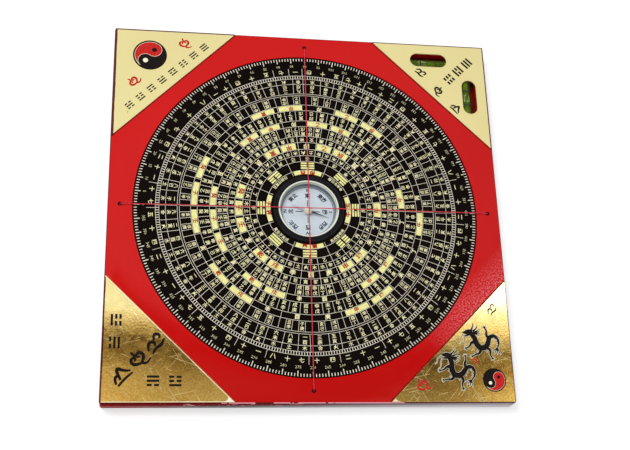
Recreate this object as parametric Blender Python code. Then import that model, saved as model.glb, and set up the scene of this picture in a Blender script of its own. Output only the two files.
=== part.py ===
"""A feng shui compass: a square board with a turning dial, a needle capsule, crossed threads and two vials.

Metres, +Z up, +X right, +Y to the back. The origin is under the board's centre, where the board rests.
"""

import math

import bmesh
import bpy
from mathutils import Matrix, Vector

# Board
BOARD_SIDE = 0.210
BOARD_HEIGHT = 0.010
FRAME_HEIGHT = 0.0047
CORNER_ROUND = 0.0012
EDGE_ROUND = 0.0006

# Gaps that every piece keeps to what it sits on, fits in or runs in
SEAT_GAP = 0.0003
RUNNING_GAP = 0.0004
FINE_GAP = 0.0001

# Dial
DIAL_MARGIN = 0.0126
DIAL_SINK = 0.0003
FACE_THICKNESS = 0.0005
WASHER_THICKNESS = 0.0005
WASHER_WIDTH = 0.0120

# Capsule, measured from its rim downwards
BARREL_RADIUS = 0.0176
FLANGE_WIDTH = 0.0015
RIM_PROUD = 0.0009
RIM_WALL = 0.0013
FLANGE_STEP = 0.0004
RIM_CHAMFER = 0.0003
LINER_SINK = 0.0001
LINER_CHAMFER = 0.0001
LIP_WIDTH = 0.0007
LIP_HEIGHT = 0.0004
GLASS_THICKNESS = 0.0008
GLASS_SEAT_WIDTH = 0.0007
THROAT_TAPER = 0.0006
CARD_DEPTH = 0.0048
CARD_THICKNESS = 0.0005
FLOOR_THICKNESS = 0.0013
SKIRT_WALL = 0.0022

# Spring ring behind the board, which holds the dial in
COUNTERBORE_DEPTH = 0.0029
COUNTERBORE_ROOM = 0.0015
RING_THICKNESS = 0.0006
RING_GROOVE_DEPTH = 0.0007
RING_WIDTH = 0.0020
RING_MOUTH_WIDTH = 0.0050
SKIRT_LIP = 0.0007

# Needle and its pin
PIN_FOOT_RADIUS = 0.00075
PIN_FOOT_DEPTH = 0.0007
PIN_SHOULDER = 0.0002
PIN_NECK_RADIUS = 0.00045
PIN_TIP_RADIUS = 0.00006
PIN_HEIGHT = 0.0020
CAP_RADIUS = 0.0022
CAP_NECK_RADIUS = 0.0009
CAP_NECK_HEIGHT = 0.0007
CAP_DOME_HEIGHT = 0.0012
CAP_CUP_RADIUS = 0.00065
CAP_CUP_DEPTH = 0.0012
CAP_TIP_GAP = 0.00025
BLADE_THICKNESS = 0.0002
BLADE_HUB_RADIUS = 0.0017
BLADE_HALF_WIDTH = 0.0005
BLADE_HEAD_LENGTH = 0.0122
BLADE_TAIL_LENGTH = 0.0092
BLADE_TAIL_HALF_WIDTH = 0.00025
NEEDLE_REST_ANGLE = math.radians(-20.0)

# Corner plates
PLATE_INSET = 0.0005
PLATE_LEG = 0.0653
PLATE_THICKNESS = 0.0004
PLATE_CORNER_ROUND = 0.0006

# Vials
SLOT_LENGTH = 0.0214
SLOT_WIDTH = 0.0084
SLOT_INSET = 0.0108
SLOT_FROM_CORNER = 0.0335
POCKET_MARGIN = 0.0012
TUBE_RADIUS = 0.0032
TUBE_WALL = 0.00045
TUBE_END_GAP = 0.0004
TUBE_BELOW_TOP = 0.0001
PLUG_LENGTH = 0.0018
PLUG_CHAMFER = 0.0003
BUBBLE_HALF_LENGTH = 0.0032
BUBBLE_HALF_WIDTH = 0.0015
BUBBLE_HALF_DEPTH = 0.0009
BUBBLE_BELOW_WALL = 0.0002
BUBBLE_X_OFFSET = -0.0035
CHANNEL_GAP = 0.0002

# Threads
THREAD_RADIUS = 0.00022
THREAD_GAP = 0.0002
THREAD_HOLE_RADIUS = 0.0008
THREAD_BEND_RADIUS = 0.0009
CROSSING_HALF_LENGTH = 0.0012
KNOT_RADIUS = 0.0011
KNOT_WELL_RADIUS = 0.0019
KNOT_WELL_DEPTH = 0.0025

# How far every cut runs past what it cuts, and the distance at which points merge
OVERRUN = 0.0010
MERGE_DISTANCE = 0.000001

# Sides of the round shapes
DIAL_STEPS = 120
CAPSULE_STEPS = 64
SMALL_STEPS = 16
BEND_STEPS = 4
ROUND_STEPS = 3

# Places that follow from the sizes above
HALF_SIDE = BOARD_SIDE / 2
RECESS_RADIUS = HALF_SIDE - DIAL_MARGIN
DIAL_RADIUS = RECESS_RADIUS - RUNNING_GAP
FRAME_BOTTOM = BOARD_HEIGHT - FRAME_HEIGHT
BASE_HEIGHT = FRAME_BOTTOM - SEAT_GAP
FACE_TOP = BOARD_HEIGHT - DIAL_SINK
FACE_BOTTOM = FACE_TOP - FACE_THICKNESS
DISC_TOP = FACE_BOTTOM - SEAT_GAP
WASHER_BOTTOM = BASE_HEIGHT + SEAT_GAP
DISC_BOTTOM = WASHER_BOTTOM + WASHER_THICKNESS + SEAT_GAP
CENTRE_HOLE_RADIUS = BARREL_RADIUS + SEAT_GAP

RIM_TOP = BOARD_HEIGHT + RIM_PROUD
FLANGE_RADIUS = BARREL_RADIUS + FLANGE_WIDTH
FLANGE_BOTTOM = FACE_TOP + SEAT_GAP
CUP_RADIUS = BARREL_RADIUS - RIM_WALL
LINER_RADIUS = CUP_RADIUS - FINE_GAP
LINER_TOP = RIM_TOP - LINER_SINK
SEAT_RADIUS = LINER_RADIUS - LIP_WIDTH
GLASS_RADIUS = SEAT_RADIUS - FINE_GAP
GLASS_TOP = LINER_TOP - LIP_HEIGHT
GLASS_BOTTOM = GLASS_TOP - GLASS_THICKNESS
SEAT_HEIGHT = GLASS_BOTTOM - FINE_GAP
THROAT_RADIUS = SEAT_RADIUS - GLASS_SEAT_WIDTH
CARD_TOP = RIM_TOP - CARD_DEPTH
CARD_BOTTOM = CARD_TOP - CARD_THICKNESS
CUP_FLOOR = CARD_BOTTOM - FINE_GAP
FLOOR_UNDERSIDE = CUP_FLOOR - FLOOR_THICKNESS
SKIRT_RADIUS = BARREL_RADIUS - SKIRT_WALL

RING_TOP = COUNTERBORE_DEPTH - FINE_GAP
RING_BOTTOM = RING_TOP - RING_THICKNESS
GROOVE_TOP = RING_TOP + FINE_GAP
GROOVE_BOTTOM = RING_BOTTOM - FINE_GAP
GROOVE_RADIUS = BARREL_RADIUS - RING_GROOVE_DEPTH
RING_INNER_RADIUS = GROOVE_RADIUS + FINE_GAP
RING_OUTER_RADIUS = RING_INNER_RADIUS + RING_WIDTH
COUNTERBORE_RADIUS = RING_OUTER_RADIUS + COUNTERBORE_ROOM
BARREL_BOTTOM = GROOVE_BOTTOM - SKIRT_LIP

PIN_FOOT_TOP = CARD_TOP + PIN_SHOULDER
PIN_TIP = CARD_TOP + PIN_HEIGHT
CUP_ROOF = PIN_TIP + CAP_TIP_GAP
CAP_BOTTOM = CUP_ROOF - CAP_CUP_DEPTH
BLADE_TOP = CAP_BOTTOM + CAP_NECK_HEIGHT - FINE_GAP
CAP_SHOULDER = CAP_BOTTOM + CAP_NECK_HEIGHT

PLATE_BOTTOM = BOARD_HEIGHT + SEAT_GAP
POCKET_LENGTH = SLOT_LENGTH + 2 * POCKET_MARGIN
POCKET_WIDTH = SLOT_WIDTH + POCKET_MARGIN
TUBE_LENGTH = POCKET_LENGTH - 2 * TUBE_END_GAP
TUBE_HEIGHT = BOARD_HEIGHT - TUBE_BELOW_TOP - TUBE_RADIUS
POCKET_FLOOR = TUBE_HEIGHT - TUBE_RADIUS - SEAT_GAP
TUBE_OFFSET = POCKET_WIDTH / 2 - SEAT_GAP - TUBE_RADIUS
TUBE_BORE_RADIUS = TUBE_RADIUS - TUBE_WALL
FILL_RADIUS = TUBE_BORE_RADIUS - FINE_GAP
FILL_LENGTH = TUBE_LENGTH - 2 * (PLUG_LENGTH + FINE_GAP)
BUBBLE_HEIGHT = FILL_RADIUS - BUBBLE_BELOW_WALL - BUBBLE_HALF_DEPTH

HOLE_PLACE = (RECESS_RADIUS + HALF_SIDE) / 2
THREAD_OVER_BOARD = BOARD_HEIGHT + THREAD_GAP + THREAD_RADIUS
THREAD_OVER_RIM = RIM_TOP + THREAD_GAP + THREAD_RADIUS
THREAD_OVER_THREAD = THREAD_OVER_RIM + 2 * THREAD_RADIUS + FINE_GAP
KNOT_HEIGHT = KNOT_WELL_DEPTH - FINE_GAP - KNOT_RADIUS


def clear_scene():
    for old in list(bpy.data.objects):
        bpy.data.objects.remove(old)


def add_object(name, bm, parent=None):
    """The object of a finished bmesh, with its faces pointing out and its round sides smooth."""
    bmesh.ops.remove_doubles(bm, verts=bm.verts, dist=MERGE_DISTANCE)
    bmesh.ops.recalc_face_normals(bm, faces=bm.faces)
    mesh = bpy.data.meshes.new(name)
    bm.to_mesh(mesh)
    bm.free()
    mesh.shade_smooth()
    mesh.set_sharp_from_angle(angle=math.radians(32.0))
    piece = bpy.data.objects.new(name, mesh)
    bpy.context.scene.collection.objects.link(piece)
    piece.parent = parent
    return piece


def add_empty(name, location, turn):
    empty = bpy.data.objects.new(name, None)
    empty.location = location
    empty.rotation_euler.z = turn
    bpy.context.scene.collection.objects.link(empty)
    return empty


def paint(piece, colour, roughness, metallic=0.0, alpha=1.0):
    """Gives a piece its own material."""
    material = bpy.data.materials.new(piece.name)
    material.use_nodes = True
    shader = material.node_tree.nodes["Principled BSDF"]
    shader.inputs["Base Color"].default_value = (*colour, 1.0)
    shader.inputs["Roughness"].default_value = roughness
    shader.inputs["Metallic"].default_value = metallic
    shader.inputs["Alpha"].default_value = alpha
    material.diffuse_color = (*colour, alpha)
    piece.data.materials.append(material)


def as_cutter(piece):
    piece.hide_render = True
    piece.display_type = "WIRE"
    return piece


def combine(piece, other, operation):
    modifier = piece.modifiers.new(other.name, "BOOLEAN")
    modifier.operation = operation
    modifier.object = other


def spin_profile(bm, profile, steps, closed):
    """Turns a list of (radius, height) about Z. A closed profile makes a ring, an open one starts and
    ends on the axis."""
    points = [bm.verts.new((radius, 0, height)) for radius, height in profile]
    edges = [bm.edges.new(pair) for pair in zip(points, points[1:])]
    if closed:
        edges.append(bm.edges.new((points[-1], points[0])))
    bmesh.ops.spin(
        bm,
        geom=points + edges,
        cent=(0, 0, 0),
        axis=(0, 0, 1),
        angle=math.tau,
        steps=steps,
        use_duplicate=False,
    )
    bmesh.ops.remove_doubles(bm, verts=bm.verts, dist=MERGE_DISTANCE)


def turned(name, profile, steps, closed=True, parent=None):
    bm = bmesh.new()
    spin_profile(bm, profile, steps, closed)
    return add_object(name, bm, parent)


def turned_along_x(name, profile, steps, closed, parent):
    """As turned, with the axis laid along X."""
    bm = bmesh.new()
    spin_profile(bm, profile, steps, closed)
    bmesh.ops.rotate(bm, verts=bm.verts, cent=(0, 0, 0), matrix=Matrix.Rotation(math.pi / 2, 3, "Y"))
    return add_object(name, bm, parent)


def disc_profile(radius, bottom, top):
    return [(0, bottom), (radius, bottom), (radius, top), (0, top)]


def ring_profile(inner, outer, bottom, top):
    return [(inner, bottom), (outer, bottom), (outer, top), (inner, top)]


def extrude_outline(bm, outline, bottom, top):
    """Raises a flat outline of (x, y) points to a solid."""
    face = bm.faces.new([bm.verts.new((x, y, bottom)) for x, y in outline])
    raised = bmesh.ops.extrude_face_region(bm, geom=[face])
    points = [item for item in raised["geom"] if isinstance(item, bmesh.types.BMVert)]
    bmesh.ops.translate(bm, verts=points, vec=(0, 0, top - bottom))


def upright_edges(bm):
    return [edge for edge in bm.edges if abs(edge.verts[0].co.z - edge.verts[1].co.z) > MERGE_DISTANCE]


def round_edges(bm, edges, radius, steps):
    bmesh.ops.bevel(
        bm, geom=edges, offset=radius, offset_type="OFFSET", segments=steps, profile=0.5, affect="EDGES"
    )


def board_layer(name, bottom, top, rounded_height):
    """One layer of the board: a square slab with round corners, and a round edge at one of its faces."""
    bm = bmesh.new()
    extrude_outline(bm, box_outline(BOARD_SIDE, BOARD_SIDE), bottom, top)
    round_edges(bm, upright_edges(bm), CORNER_ROUND, ROUND_STEPS)
    rim = [
        edge
        for edge in bm.edges
        if all(abs(point.co.z - rounded_height) < MERGE_DISTANCE for point in edge.verts)
    ]
    round_edges(bm, rim, EDGE_ROUND, ROUND_STEPS)
    return add_object(name, bm)


def box_outline(length, width):
    """A rectangle along X, about the origin."""
    corners = ((-1, -1), (1, -1), (1, 1), (-1, 1))
    return [(length / 2 * x, width / 2 * y) for x, y in corners]


def slot_outline(length, width):
    """A round-ended slot along X, about the origin."""
    radius = width / 2
    outline = []
    for side in (1, -1):
        for step in range(SMALL_STEPS // 2 + 1):
            angle = step * math.tau / SMALL_STEPS - math.pi / 2
            x = side * (length / 2 - radius + radius * math.cos(angle))
            outline.append((x, side * radius * math.sin(angle)))
    return outline


def vial_cutter(name, place, turn, outline, bottom):
    bm = bmesh.new()
    extrude_outline(bm, outline, bottom, PLATE_BOTTOM + PLATE_THICKNESS + OVERRUN)
    cutter = as_cutter(add_object(name, bm))
    cutter.location = (place[0], place[1], 0)
    cutter.rotation_euler.z = turn
    return cutter


def thread_hole_cutter():
    """Four drilled holes, each with a well for the knot at the board's back."""
    profile = [
        (0, -OVERRUN),
        (KNOT_WELL_RADIUS, -OVERRUN),
        (KNOT_WELL_RADIUS, KNOT_WELL_DEPTH),
        (THREAD_HOLE_RADIUS, KNOT_WELL_DEPTH),
        (THREAD_HOLE_RADIUS, BOARD_HEIGHT + OVERRUN),
        (0, BOARD_HEIGHT + OVERRUN),
    ]
    bm = bmesh.new()
    for quarter in range(4):
        angle = quarter * math.pi / 2
        one = bmesh.new()
        spin_profile(one, profile, SMALL_STEPS, False)
        place = (HOLE_PLACE * math.cos(angle), HOLE_PLACE * math.sin(angle), 0)
        bmesh.ops.translate(one, verts=one.verts, vec=place)
        drilled = bpy.data.meshes.new("drilled")
        one.to_mesh(drilled)
        one.free()
        bm.from_mesh(drilled)
        bpy.data.meshes.remove(drilled)
    return as_cutter(add_object("thread_hole_cutter", bm))


def vial_places():
    """Name, slot place and turn of the two vials: one along X, one along Y."""
    along = HALF_SIDE - SLOT_FROM_CORNER
    inset = HALF_SIDE - SLOT_INSET
    return (
        ("x", Vector((along, inset, 0)), 0.0),
        ("y", Vector((inset, along, 0)), math.pi / 2),
    )


def make_board():
    lacquer = (0.60, 0.02, 0.02)
    primer = (0.17, 0.16, 0.155)
    frame = board_layer("frame_panel", FRAME_BOTTOM, BOARD_HEIGHT, BOARD_HEIGHT)
    base = board_layer("base_panel", 0, BASE_HEIGHT, 0)
    paint(frame, lacquer, 0.25)
    paint(base, primer, 0.60)

    recess = disc_profile(RECESS_RADIUS, BASE_HEIGHT, BOARD_HEIGHT + OVERRUN)
    combine(frame, as_cutter(turned("recess_cutter", recess, DIAL_STEPS, False)), "DIFFERENCE")

    bearing_radius = BARREL_RADIUS + RUNNING_GAP
    bearing = [
        (0, -OVERRUN),
        (COUNTERBORE_RADIUS, -OVERRUN),
        (COUNTERBORE_RADIUS, COUNTERBORE_DEPTH),
        (bearing_radius, COUNTERBORE_DEPTH),
        (bearing_radius, BASE_HEIGHT + OVERRUN),
        (0, BASE_HEIGHT + OVERRUN),
    ]
    combine(base, as_cutter(turned("bearing_cutter", bearing, CAPSULE_STEPS, False)), "DIFFERENCE")

    holes = thread_hole_cutter()
    combine(frame, holes, "DIFFERENCE")
    combine(base, holes, "DIFFERENCE")
    for axis, place, turn in vial_places():
        outline = box_outline(POCKET_LENGTH, POCKET_WIDTH)
        pocket = vial_cutter(f"pocket_cutter_{axis}", place, turn, outline, POCKET_FLOOR)
        combine(frame, pocket, "DIFFERENCE")
        combine(base, pocket, "DIFFERENCE")


def make_corner_plates():
    """Thin right-angled triangles, set just inside the board's corners."""
    satin = (0.78, 0.70, 0.32)
    foil = (0.70, 0.50, 0.16)
    outer = HALF_SIDE - PLATE_INSET
    plates = (
        ("corner_plate_back_left", -1, 1, satin, 0.35),
        ("corner_plate_back_right", 1, 1, satin, 0.35),
        ("corner_plate_front_left", -1, -1, foil, 0.22),
        ("corner_plate_front_right", 1, -1, foil, 0.22),
    )
    for name, x_side, y_side, colour, roughness in plates:
        bm = bmesh.new()
        outline = (
            (x_side * outer, y_side * outer),
            (x_side * (outer - PLATE_LEG), y_side * outer),
            (x_side * outer, y_side * (outer - PLATE_LEG)),
        )
        extrude_outline(bm, outline, PLATE_BOTTOM, PLATE_BOTTOM + PLATE_THICKNESS)
        round_edges(bm, upright_edges(bm), PLATE_CORNER_ROUND, ROUND_STEPS)
        plate = add_object(name, bm)
        paint(plate, colour, roughness, 0.9)
        if name != "corner_plate_back_right":
            continue
        for axis, place, turn in vial_places():
            outline = slot_outline(SLOT_LENGTH, SLOT_WIDTH)
            slot = vial_cutter(f"slot_cutter_{axis}", place, turn, outline, BOARD_HEIGHT)
            combine(plate, slot, "DIFFERENCE")


def make_dial():
    """A thick disc with a thin printed face plate on it, and the felt ring that it turns on."""
    disc = ring_profile(CENTRE_HOLE_RADIUS, DIAL_RADIUS, DISC_BOTTOM, DISC_TOP)
    paint(turned("dial_disc", disc, DIAL_STEPS), (0.03, 0.025, 0.025), 0.5)
    face = ring_profile(CENTRE_HOLE_RADIUS, DIAL_RADIUS, FACE_BOTTOM, FACE_TOP)
    paint(turned("dial_face", face, DIAL_STEPS), (0.012, 0.010, 0.011), 0.35)
    washer_outer = CENTRE_HOLE_RADIUS + WASHER_WIDTH
    washer = ring_profile(CENTRE_HOLE_RADIUS, washer_outer, WASHER_BOTTOM, WASHER_BOTTOM + WASHER_THICKNESS)
    paint(turned("slip_washer", washer, CAPSULE_STEPS), (0.05, 0.05, 0.05), 0.95)


def make_capsule():
    foot_hole = CUP_FLOOR - PIN_FOOT_DEPTH
    foot_hole_radius = PIN_FOOT_RADIUS + FINE_GAP
    housing_profile = [
        (0, FLOOR_UNDERSIDE),
        (SKIRT_RADIUS, FLOOR_UNDERSIDE),
        (SKIRT_RADIUS, BARREL_BOTTOM),
        (BARREL_RADIUS, BARREL_BOTTOM),
        (BARREL_RADIUS, GROOVE_BOTTOM),
        (GROOVE_RADIUS, GROOVE_BOTTOM),
        (GROOVE_RADIUS, GROOVE_TOP),
        (BARREL_RADIUS, GROOVE_TOP),
        (BARREL_RADIUS, FLANGE_BOTTOM),
        (FLANGE_RADIUS, FLANGE_BOTTOM),
        (FLANGE_RADIUS, RIM_TOP - FLANGE_STEP - RIM_CHAMFER),
        (FLANGE_RADIUS - RIM_CHAMFER, RIM_TOP - FLANGE_STEP),
        (BARREL_RADIUS, RIM_TOP - FLANGE_STEP),
        (BARREL_RADIUS - RIM_CHAMFER, RIM_TOP),
        (CUP_RADIUS + RIM_CHAMFER, RIM_TOP),
        (CUP_RADIUS, RIM_TOP - RIM_CHAMFER),
        (CUP_RADIUS, CUP_FLOOR),
        (foot_hole_radius, CUP_FLOOR),
        (foot_hole_radius, foot_hole),
        (0, foot_hole),
    ]
    housing = turned("capsule_housing", housing_profile, CAPSULE_STEPS, False)
    paint(housing, (0.012, 0.012, 0.013), 0.30)

    liner_bottom = CARD_TOP + FINE_GAP
    liner_profile = [
        (THROAT_RADIUS - THROAT_TAPER, liner_bottom),
        (LINER_RADIUS, liner_bottom),
        (LINER_RADIUS, LINER_TOP - LINER_CHAMFER),
        (LINER_RADIUS - LINER_CHAMFER, LINER_TOP),
        (SEAT_RADIUS + LINER_CHAMFER, LINER_TOP),
        (SEAT_RADIUS, LINER_TOP - LINER_CHAMFER),
        (SEAT_RADIUS, SEAT_HEIGHT),
        (THROAT_RADIUS, SEAT_HEIGHT),
    ]
    paint(turned("capsule_liner", liner_profile, CAPSULE_STEPS), (0.75, 0.77, 0.66), 0.45)

    card = ring_profile(foot_hole_radius, LINER_RADIUS, CARD_BOTTOM, CARD_TOP)
    paint(turned("compass_card", card, CAPSULE_STEPS), (0.68, 0.74, 0.80), 0.60)

    glass_profile = [
        (0, GLASS_BOTTOM),
        (GLASS_RADIUS - FINE_GAP, GLASS_BOTTOM),
        (GLASS_RADIUS, GLASS_BOTTOM + FINE_GAP),
        (GLASS_RADIUS, GLASS_TOP - FINE_GAP),
        (GLASS_RADIUS - FINE_GAP, GLASS_TOP),
        (0, GLASS_TOP),
    ]
    paint(turned("capsule_glass", glass_profile, CAPSULE_STEPS, False), (0.9, 0.95, 0.95), 0.03, alpha=0.25)


def make_pin():
    """A pointed pin, whose foot stands in the cup's floor."""
    profile = [
        (0, CUP_FLOOR - PIN_FOOT_DEPTH + FINE_GAP),
        (PIN_FOOT_RADIUS, CUP_FLOOR - PIN_FOOT_DEPTH + FINE_GAP),
        (PIN_FOOT_RADIUS, PIN_FOOT_TOP),
        (PIN_NECK_RADIUS, PIN_FOOT_TOP),
        (PIN_TIP_RADIUS, PIN_TIP - PIN_TIP_RADIUS),
        (0, PIN_TIP),
    ]
    paint(turned("pivot_pin", profile, SMALL_STEPS, False), (0.60, 0.60, 0.62), 0.20, 1.0)


def make_retaining_ring():
    """An open spring ring of flat steel, sprung into the barrel's groove."""
    half_mouth = RING_MOUTH_WIDTH / 2
    outline = []
    for radius, way in ((RING_OUTER_RADIUS, 1), (RING_INNER_RADIUS, -1)):
        start = math.asin(half_mouth / radius)
        arc = math.tau - 2 * start
        turns = [start + arc * step / CAPSULE_STEPS for step in range(CAPSULE_STEPS + 1)]
        outline += [(radius * math.cos(turn), radius * math.sin(turn)) for turn in turns[::way]]
    bm = bmesh.new()
    extrude_outline(bm, outline, RING_BOTTOM, RING_TOP)
    paint(add_object("retaining_ring", bm), (0.45, 0.45, 0.46), 0.35, 1.0)


def make_needle():
    """Blade and cap turn about Z on the pin's point."""
    needle = add_empty("needle_axis", (0, 0, 0), NEEDLE_REST_ANGLE)
    hub_angle = math.asin(BLADE_HALF_WIDTH / BLADE_HUB_RADIUS)
    sweep = math.pi - 2 * hub_angle
    arc = [hub_angle + sweep * step / SMALL_STEPS for step in range(SMALL_STEPS + 1)]
    upper = [(BLADE_HUB_RADIUS * math.cos(turn), BLADE_HUB_RADIUS * math.sin(turn)) for turn in arc]
    lower = [(x, -y) for x, y in reversed(upper)]
    tail = [(-BLADE_TAIL_LENGTH, BLADE_TAIL_HALF_WIDTH), (-BLADE_TAIL_LENGTH, -BLADE_TAIL_HALF_WIDTH)]
    outline = [(BLADE_HEAD_LENGTH, 0)] + upper + tail + lower
    bm = bmesh.new()
    extrude_outline(bm, outline, BLADE_TOP - BLADE_THICKNESS, BLADE_TOP)
    blade = add_object("needle_blade", bm, needle)
    hole = disc_profile(CAP_NECK_RADIUS + FINE_GAP, CAP_BOTTOM - OVERRUN, BLADE_TOP + OVERRUN)
    combine(blade, as_cutter(turned("blade_hole_cutter", hole, SMALL_STEPS, False)), "DIFFERENCE")
    paint(blade, (0.05, 0.05, 0.06), 0.35, 0.8)

    dome = []
    for step in range(BEND_STEPS + 1):
        angle = step * math.pi / (2 * BEND_STEPS)
        dome.append((CAP_RADIUS * math.cos(angle), CAP_SHOULDER + CAP_DOME_HEIGHT * math.sin(angle)))
    dome[-1] = (0, CAP_SHOULDER + CAP_DOME_HEIGHT)
    cap_profile = [
        (0, CUP_ROOF),
        (CAP_CUP_RADIUS, CAP_BOTTOM),
        (CAP_NECK_RADIUS, CAP_BOTTOM),
        (CAP_NECK_RADIUS, CAP_SHOULDER),
    ]
    cap = turned("needle_cap", cap_profile + dome, SMALL_STEPS, False, needle)
    paint(cap, (0.80, 0.58, 0.34), 0.35, 0.6)


def make_vials():
    """Each vial lies along local X in its pocket, on the side towards the dial."""
    for axis, place, turn in vial_places():
        inward = Vector((0, -TUBE_OFFSET, 0)) if axis == "x" else Vector((-TUBE_OFFSET, 0, 0))
        vial = add_empty(f"vial_{axis}_axis", place + inward + Vector((0, 0, TUBE_HEIGHT)), turn)

        tube = ring_profile(TUBE_BORE_RADIUS, TUBE_RADIUS, -TUBE_LENGTH / 2, TUBE_LENGTH / 2)
        tube = turned_along_x(f"vial_tube_{axis}", tube, SMALL_STEPS, True, vial)
        paint(tube, (0.85, 0.95, 0.85), 0.05, alpha=0.3)

        fill = disc_profile(FILL_RADIUS, -FILL_LENGTH / 2, FILL_LENGTH / 2)
        liquid = turned_along_x(f"vial_liquid_{axis}", fill, SMALL_STEPS, False, vial)
        combine(liquid, channel_cutter(axis, vial), "DIFFERENCE")
        paint(liquid, (0.20, 0.55, 0.05), 0.10, alpha=0.8)

        ends = (("left", -1), ("right", 1)) if axis == "x" else (("front", -1), ("back", 1))
        for end, side in ends:
            face = TUBE_LENGTH / 2
            plug_profile = [
                (0, face - PLUG_LENGTH),
                (FILL_RADIUS, face - PLUG_LENGTH),
                (FILL_RADIUS, face - PLUG_CHAMFER),
                (FILL_RADIUS - PLUG_CHAMFER, face),
                (0, face),
            ]
            placed = [(radius, side * along) for radius, along in plug_profile]
            plug = turned_along_x(f"vial_plug_{axis}_{end}", placed, SMALL_STEPS, False, vial)
            paint(plug, (0.45, 0.55, 0.10), 0.20)

        bubble = bmesh.new()
        bmesh.ops.create_uvsphere(bubble, u_segments=SMALL_STEPS, v_segments=SMALL_STEPS // 2, radius=1.0)
        size = (BUBBLE_HALF_LENGTH, BUBBLE_HALF_WIDTH, BUBBLE_HALF_DEPTH)
        bmesh.ops.scale(bubble, vec=size, verts=bubble.verts)
        bubble = add_object(f"vial_bubble_{axis}", bubble, vial)
        bubble.location = (BUBBLE_X_OFFSET if axis == "x" else 0, 0, BUBBLE_HEIGHT)
        paint(bubble, (0.80, 0.90, 0.60), 0.05, alpha=0.5)


def channel_cutter(axis, vial):
    """The room that a bubble travels in, along the top of its liquid."""
    bm = bmesh.new()
    outline = box_outline(FILL_LENGTH + OVERRUN, 2 * (BUBBLE_HALF_WIDTH + CHANNEL_GAP))
    extrude_outline(bm, outline, BUBBLE_HEIGHT - BUBBLE_HALF_DEPTH - CHANNEL_GAP, FILL_RADIUS + OVERRUN)
    return as_cutter(add_object(f"channel_cutter_{axis}", bm, vial))


def thread_route(crossing_height):
    """Half of a thread's route as (distance from the centre, height), from the knot to the crossing."""
    route = [(HOLE_PLACE, KNOT_HEIGHT)]
    bend_height = THREAD_OVER_BOARD - THREAD_BEND_RADIUS
    for step in range(BEND_STEPS + 1):
        angle = step * math.pi / (2 * BEND_STEPS)
        along = HOLE_PLACE - THREAD_BEND_RADIUS + THREAD_BEND_RADIUS * math.cos(angle)
        route.append((along, bend_height + THREAD_BEND_RADIUS * math.sin(angle)))
    route.append((FLANGE_RADIUS, THREAD_OVER_RIM))
    route.append((CROSSING_HALF_LENGTH, crossing_height))
    return route


def make_threads():
    """Two taut threads, each knotted at both ends in the wells behind the board."""
    threads = (
        ("thread_left_right", THREAD_OVER_RIM, 0.0),
        ("thread_front_back", THREAD_OVER_THREAD, math.pi / 2),
    )
    for name, crossing_height, turn in threads:
        half = thread_route(crossing_height)
        route = half + [(-along, height) for along, height in reversed(half)]
        curve = bpy.data.curves.new(name, "CURVE")
        curve.dimensions = "3D"
        curve.bevel_depth = THREAD_RADIUS
        curve.bevel_resolution = 2
        curve.use_fill_caps = True
        spline = curve.splines.new("POLY")
        spline.points.add(len(route) - 1)
        for point, (along, height) in zip(spline.points, route):
            point.co = (along, 0, height, 1)
        guide = as_cutter(bpy.data.objects.new(f"{name}_guide", curve))
        bpy.context.scene.collection.objects.link(guide)
        bpy.context.view_layer.update()
        graph = bpy.context.evaluated_depsgraph_get()
        swept = bpy.data.meshes.new_from_object(guide.evaluated_get(graph))
        bm = bmesh.new()
        bm.from_mesh(swept)
        bpy.data.meshes.remove(swept)
        thread = add_object(name, bm)
        thread.rotation_euler.z = turn
        for end, side in (("start", 1), ("end", -1)):
            knot = bmesh.new()
            bmesh.ops.create_uvsphere(
                knot, u_segments=SMALL_STEPS // 2, v_segments=SMALL_STEPS // 3, radius=KNOT_RADIUS
            )
            knot = as_cutter(add_object(f"{name}_knot_{end}", knot, thread))
            knot.location = (side * HOLE_PLACE, 0, KNOT_HEIGHT)
            combine(thread, knot, "UNION")
        paint(thread, (0.75, 0.03, 0.03), 0.45)


clear_scene()
make_board()
make_corner_plates()
make_dial()
make_capsule()
make_pin()
make_retaining_ring()
make_needle()
make_vials()
make_threads()
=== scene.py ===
"""The looks of a feng shui compass: a lacquered board, a printed dial, a needle capsule, threads and vials.

Metres, in the frame's own axes: +X right, +Y to the back, +Z up. The board lies on the floor at zero.
"""

import math

import bpy
from mathutils import Matrix, Vector


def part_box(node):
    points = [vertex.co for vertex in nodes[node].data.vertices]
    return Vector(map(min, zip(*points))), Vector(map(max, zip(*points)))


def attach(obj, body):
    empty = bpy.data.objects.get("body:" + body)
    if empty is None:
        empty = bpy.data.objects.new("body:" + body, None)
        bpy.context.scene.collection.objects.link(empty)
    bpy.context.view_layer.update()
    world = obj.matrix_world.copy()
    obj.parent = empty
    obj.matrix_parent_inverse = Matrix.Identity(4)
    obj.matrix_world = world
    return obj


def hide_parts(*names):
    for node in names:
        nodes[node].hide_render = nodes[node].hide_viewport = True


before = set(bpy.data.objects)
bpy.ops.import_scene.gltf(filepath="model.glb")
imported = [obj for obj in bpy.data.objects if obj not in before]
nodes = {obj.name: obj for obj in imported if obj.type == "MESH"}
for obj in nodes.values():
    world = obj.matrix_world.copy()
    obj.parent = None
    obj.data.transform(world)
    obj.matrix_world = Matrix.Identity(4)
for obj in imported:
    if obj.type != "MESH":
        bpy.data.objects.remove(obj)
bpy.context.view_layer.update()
mm = 0.001

# Camera
# It looks down on the board from the front, a little to the left, and is held turned in its own frame.
board_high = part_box("frame_panel")[1]
half_side = board_high.x
board_top = board_high.z
camera_side = math.radians(-24.587)
camera_above = math.radians(66.217)
camera_tilt = math.radians(24.108)
camera_distance = 587.67 * mm
looks_at = Vector((21.81 * mm, -11.59 * mm, board_top))
photo_width, photo_height = 630, 450
photo_focal = 1103.9
photo_centre = (350, 230)
sensor_width = 36

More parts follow.
